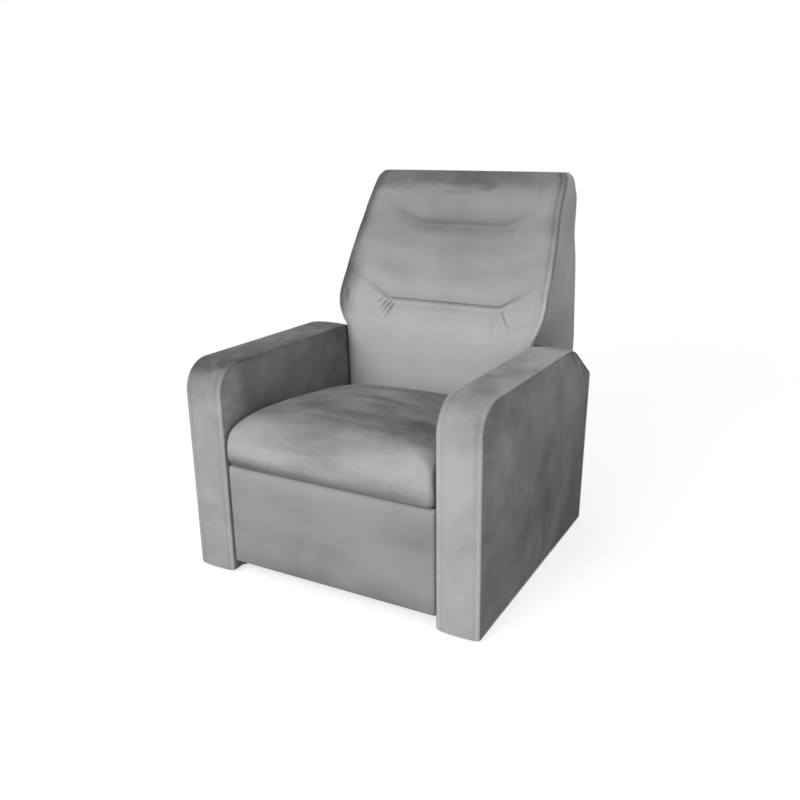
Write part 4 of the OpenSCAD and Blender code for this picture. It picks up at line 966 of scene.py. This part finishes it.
def makeStaples(body, hem, tree, metal):
    mesh = bpy.data.meshes.new("hemPath_" + body)
    points = place(*np.array(hem).T) * mm
    mesh.from_pydata(points.tolist(), [(k, k + 1) for k in range(len(hem) - 1)], [])
    row = addObject("hemStaples_" + body, mesh)
    rule = row.modifiers.new("staples", "NODES")
    rule.node_group = tree
    sizes = {label: stapleSpec[label.lower()] * mm for label in ("Spacing", "Crown", "Wire")}
    sizes["Metal"] = metal
    for item in tree.interface.items_tree:
        if item.in_out == "INPUT" and item.name in sizes:
            rule[item.identifier] = sizes[item.name]
    made = bpy.data.meshes.new_from_object(row.evaluated_get(bpy.context.evaluated_depsgraph_get()))
    row.modifiers.remove(rule)
    row.data = made
    bpy.data.meshes.remove(mesh)
    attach(row, body)


rowTree = stapleTree()
stapleMetal = frameFinish("stapleZinc", finishSpec["zinc"])
for hemBody, hemLine in stapleSpec["hems"].items():
    makeStaples(hemBody, hemLine, rowTree, stapleMetal)
print("staples made")

# Studio: a pale floor that keeps the shadow, one large soft key in front and a weak fill from the right.
# The floor turns white between the two distances of floorFade, in metres.
studioSpec = {
    "floorSize": 30, "floorColour": "#C9C9C9", "floorGlow": 0.68, "floorFade": (1.2, 3.2), "ambient": 0.46,
    "lamps": {"key": {"place": (-0.9, -3.9, 2.5), "aim": (0, 0, 0.45), "size": 2.6, "watts": 102},
              "fill": {"place": (3.4, -1.6, 2.0), "aim": (0, 0, 0.4), "size": 2.2, "watts": 22}},
}
white = (1, 1, 1, 1)


def seenRays(tree):  # 1 for what the camera sees, also in gloss and through glass
    rays = addNode(tree, "ShaderNodeLightPath").outputs
    seen = rays["Is Camera Ray"]
    for other in ("Is Glossy Ray", "Is Transmission Ray"):
        seen = addNode(tree, "ShaderNodeMath", {0: seen, 1: rays[other]}, operation="ADD",
                       use_clamp=True).outputs[0]
    return seen


def makeFloor():
    half = studioSpec["floorSize"] / 2
    mesh = bpy.data.meshes.new("floor")
    corners = [(-half, -half, 0), (half, -half, 0), (half, half, 0), (-half, half, 0)]
    mesh.from_pydata(corners, [], [(0, 1, 2, 3)])
    floor = addObject("floor", mesh)
    made, tree, where = startMaterial("paleFloor")
    seen = seenRays(tree)
    far = addNode(tree, "ShaderNodeVectorMath", {0: where}, operation="LENGTH").outputs["Value"]
    near, last = studioSpec["floorFade"]
    away = addNode(tree, "ShaderNodeMapRange", {"Value": far, "From Min": near, "From Max": last},
                   interpolation_type="SMOOTHSTEP").outputs[0]
    glow = addNode(tree, "ShaderNodeMath", {0: seen, 1: studioSpec["floorGlow"]}, operation="MULTIPLY")
    plain = addNode(tree, "ShaderNodeBsdfDiffuse", {"Color": linear(studioSpec["floorColour"])})
    light = addNode(tree, "ShaderNodeEmission", {"Color": white, "Strength": glow.outputs[0]})
    lit = addNode(tree, "ShaderNodeAddShader", {0: plain.outputs[0], 1: light.outputs[0]})
    pale = addNode(tree, "ShaderNodeEmission", {"Color": white, "Strength": 1.0})
    blend = addNode(tree, "ShaderNodeMath", {0: away, 1: seen}, operation="MULTIPLY")
    finishMaterial(made, addNode(tree, "ShaderNodeMixShader", {
        0: blend.outputs[0], 1: lit.outputs[0], 2: pale.outputs[0]}))
    mesh.materials.append(made)


def turnTo(spec):  # the turn that points a lamp or camera from its place at its aim
    return (Vector(spec["aim"]) - Vector(spec["place"])).to_track_quat("-Z", "Y")


def makeLamp(name, spec):
    data = bpy.data.lights.new(name, "AREA")
    data.shape, data.size, data.energy = "DISK", spec["size"], spec["watts"]
    lamp = addObject(name, data)
    lamp.location = spec["place"]
    lamp.rotation_euler = turnTo(spec).to_euler()


def makeWorld():
    world = bpy.data.worlds.new("studio")
    bpy.context.scene.world = world
    world.use_nodes = True
    tree = world.node_tree
    tree.nodes.clear()
    strength = addNode(tree, "ShaderNodeMapRange", {
        "Value": seenRays(tree), "To Min": studioSpec["ambient"], "To Max": 1.0})
    back = addNode(tree, "ShaderNodeBackground", {"Color": white, "Strength": strength.outputs[0]})
    out = addNode(tree, "ShaderNodeOutputWorld")
    tree.links.new(back.outputs[0], out.inputs["Surface"])


makeFloor()
for lampName, lampSpec in studioSpec["lamps"].items():
    makeLamp(lampName, lampSpec)
makeWorld()
print("studio made")

# Camera at the photograph's place: 29 degrees to the right, 18 degrees above
cameraSpec = {"place": (1.050, -1.957, 1.108), "aim": (0.006, -0.082, 0.4085), "lens": 38.74, "sensor": 36,
              "roll": -0.85}
cameraData = bpy.data.cameras.new("camera")
cameraData.lens, cameraData.sensor_width = cameraSpec["lens"], cameraSpec["sensor"]
camera = addObject("camera", cameraData)
camera.location = cameraSpec["place"]
camera.rotation_mode = "QUATERNION"
camera.rotation_quaternion = turnTo(cameraSpec) @ Quaternion((0, 0, 1), math.radians(cameraSpec["roll"]))
bpy.context.scene.camera = camera
bpy.context.scene.view_settings.view_transform = "Standard"
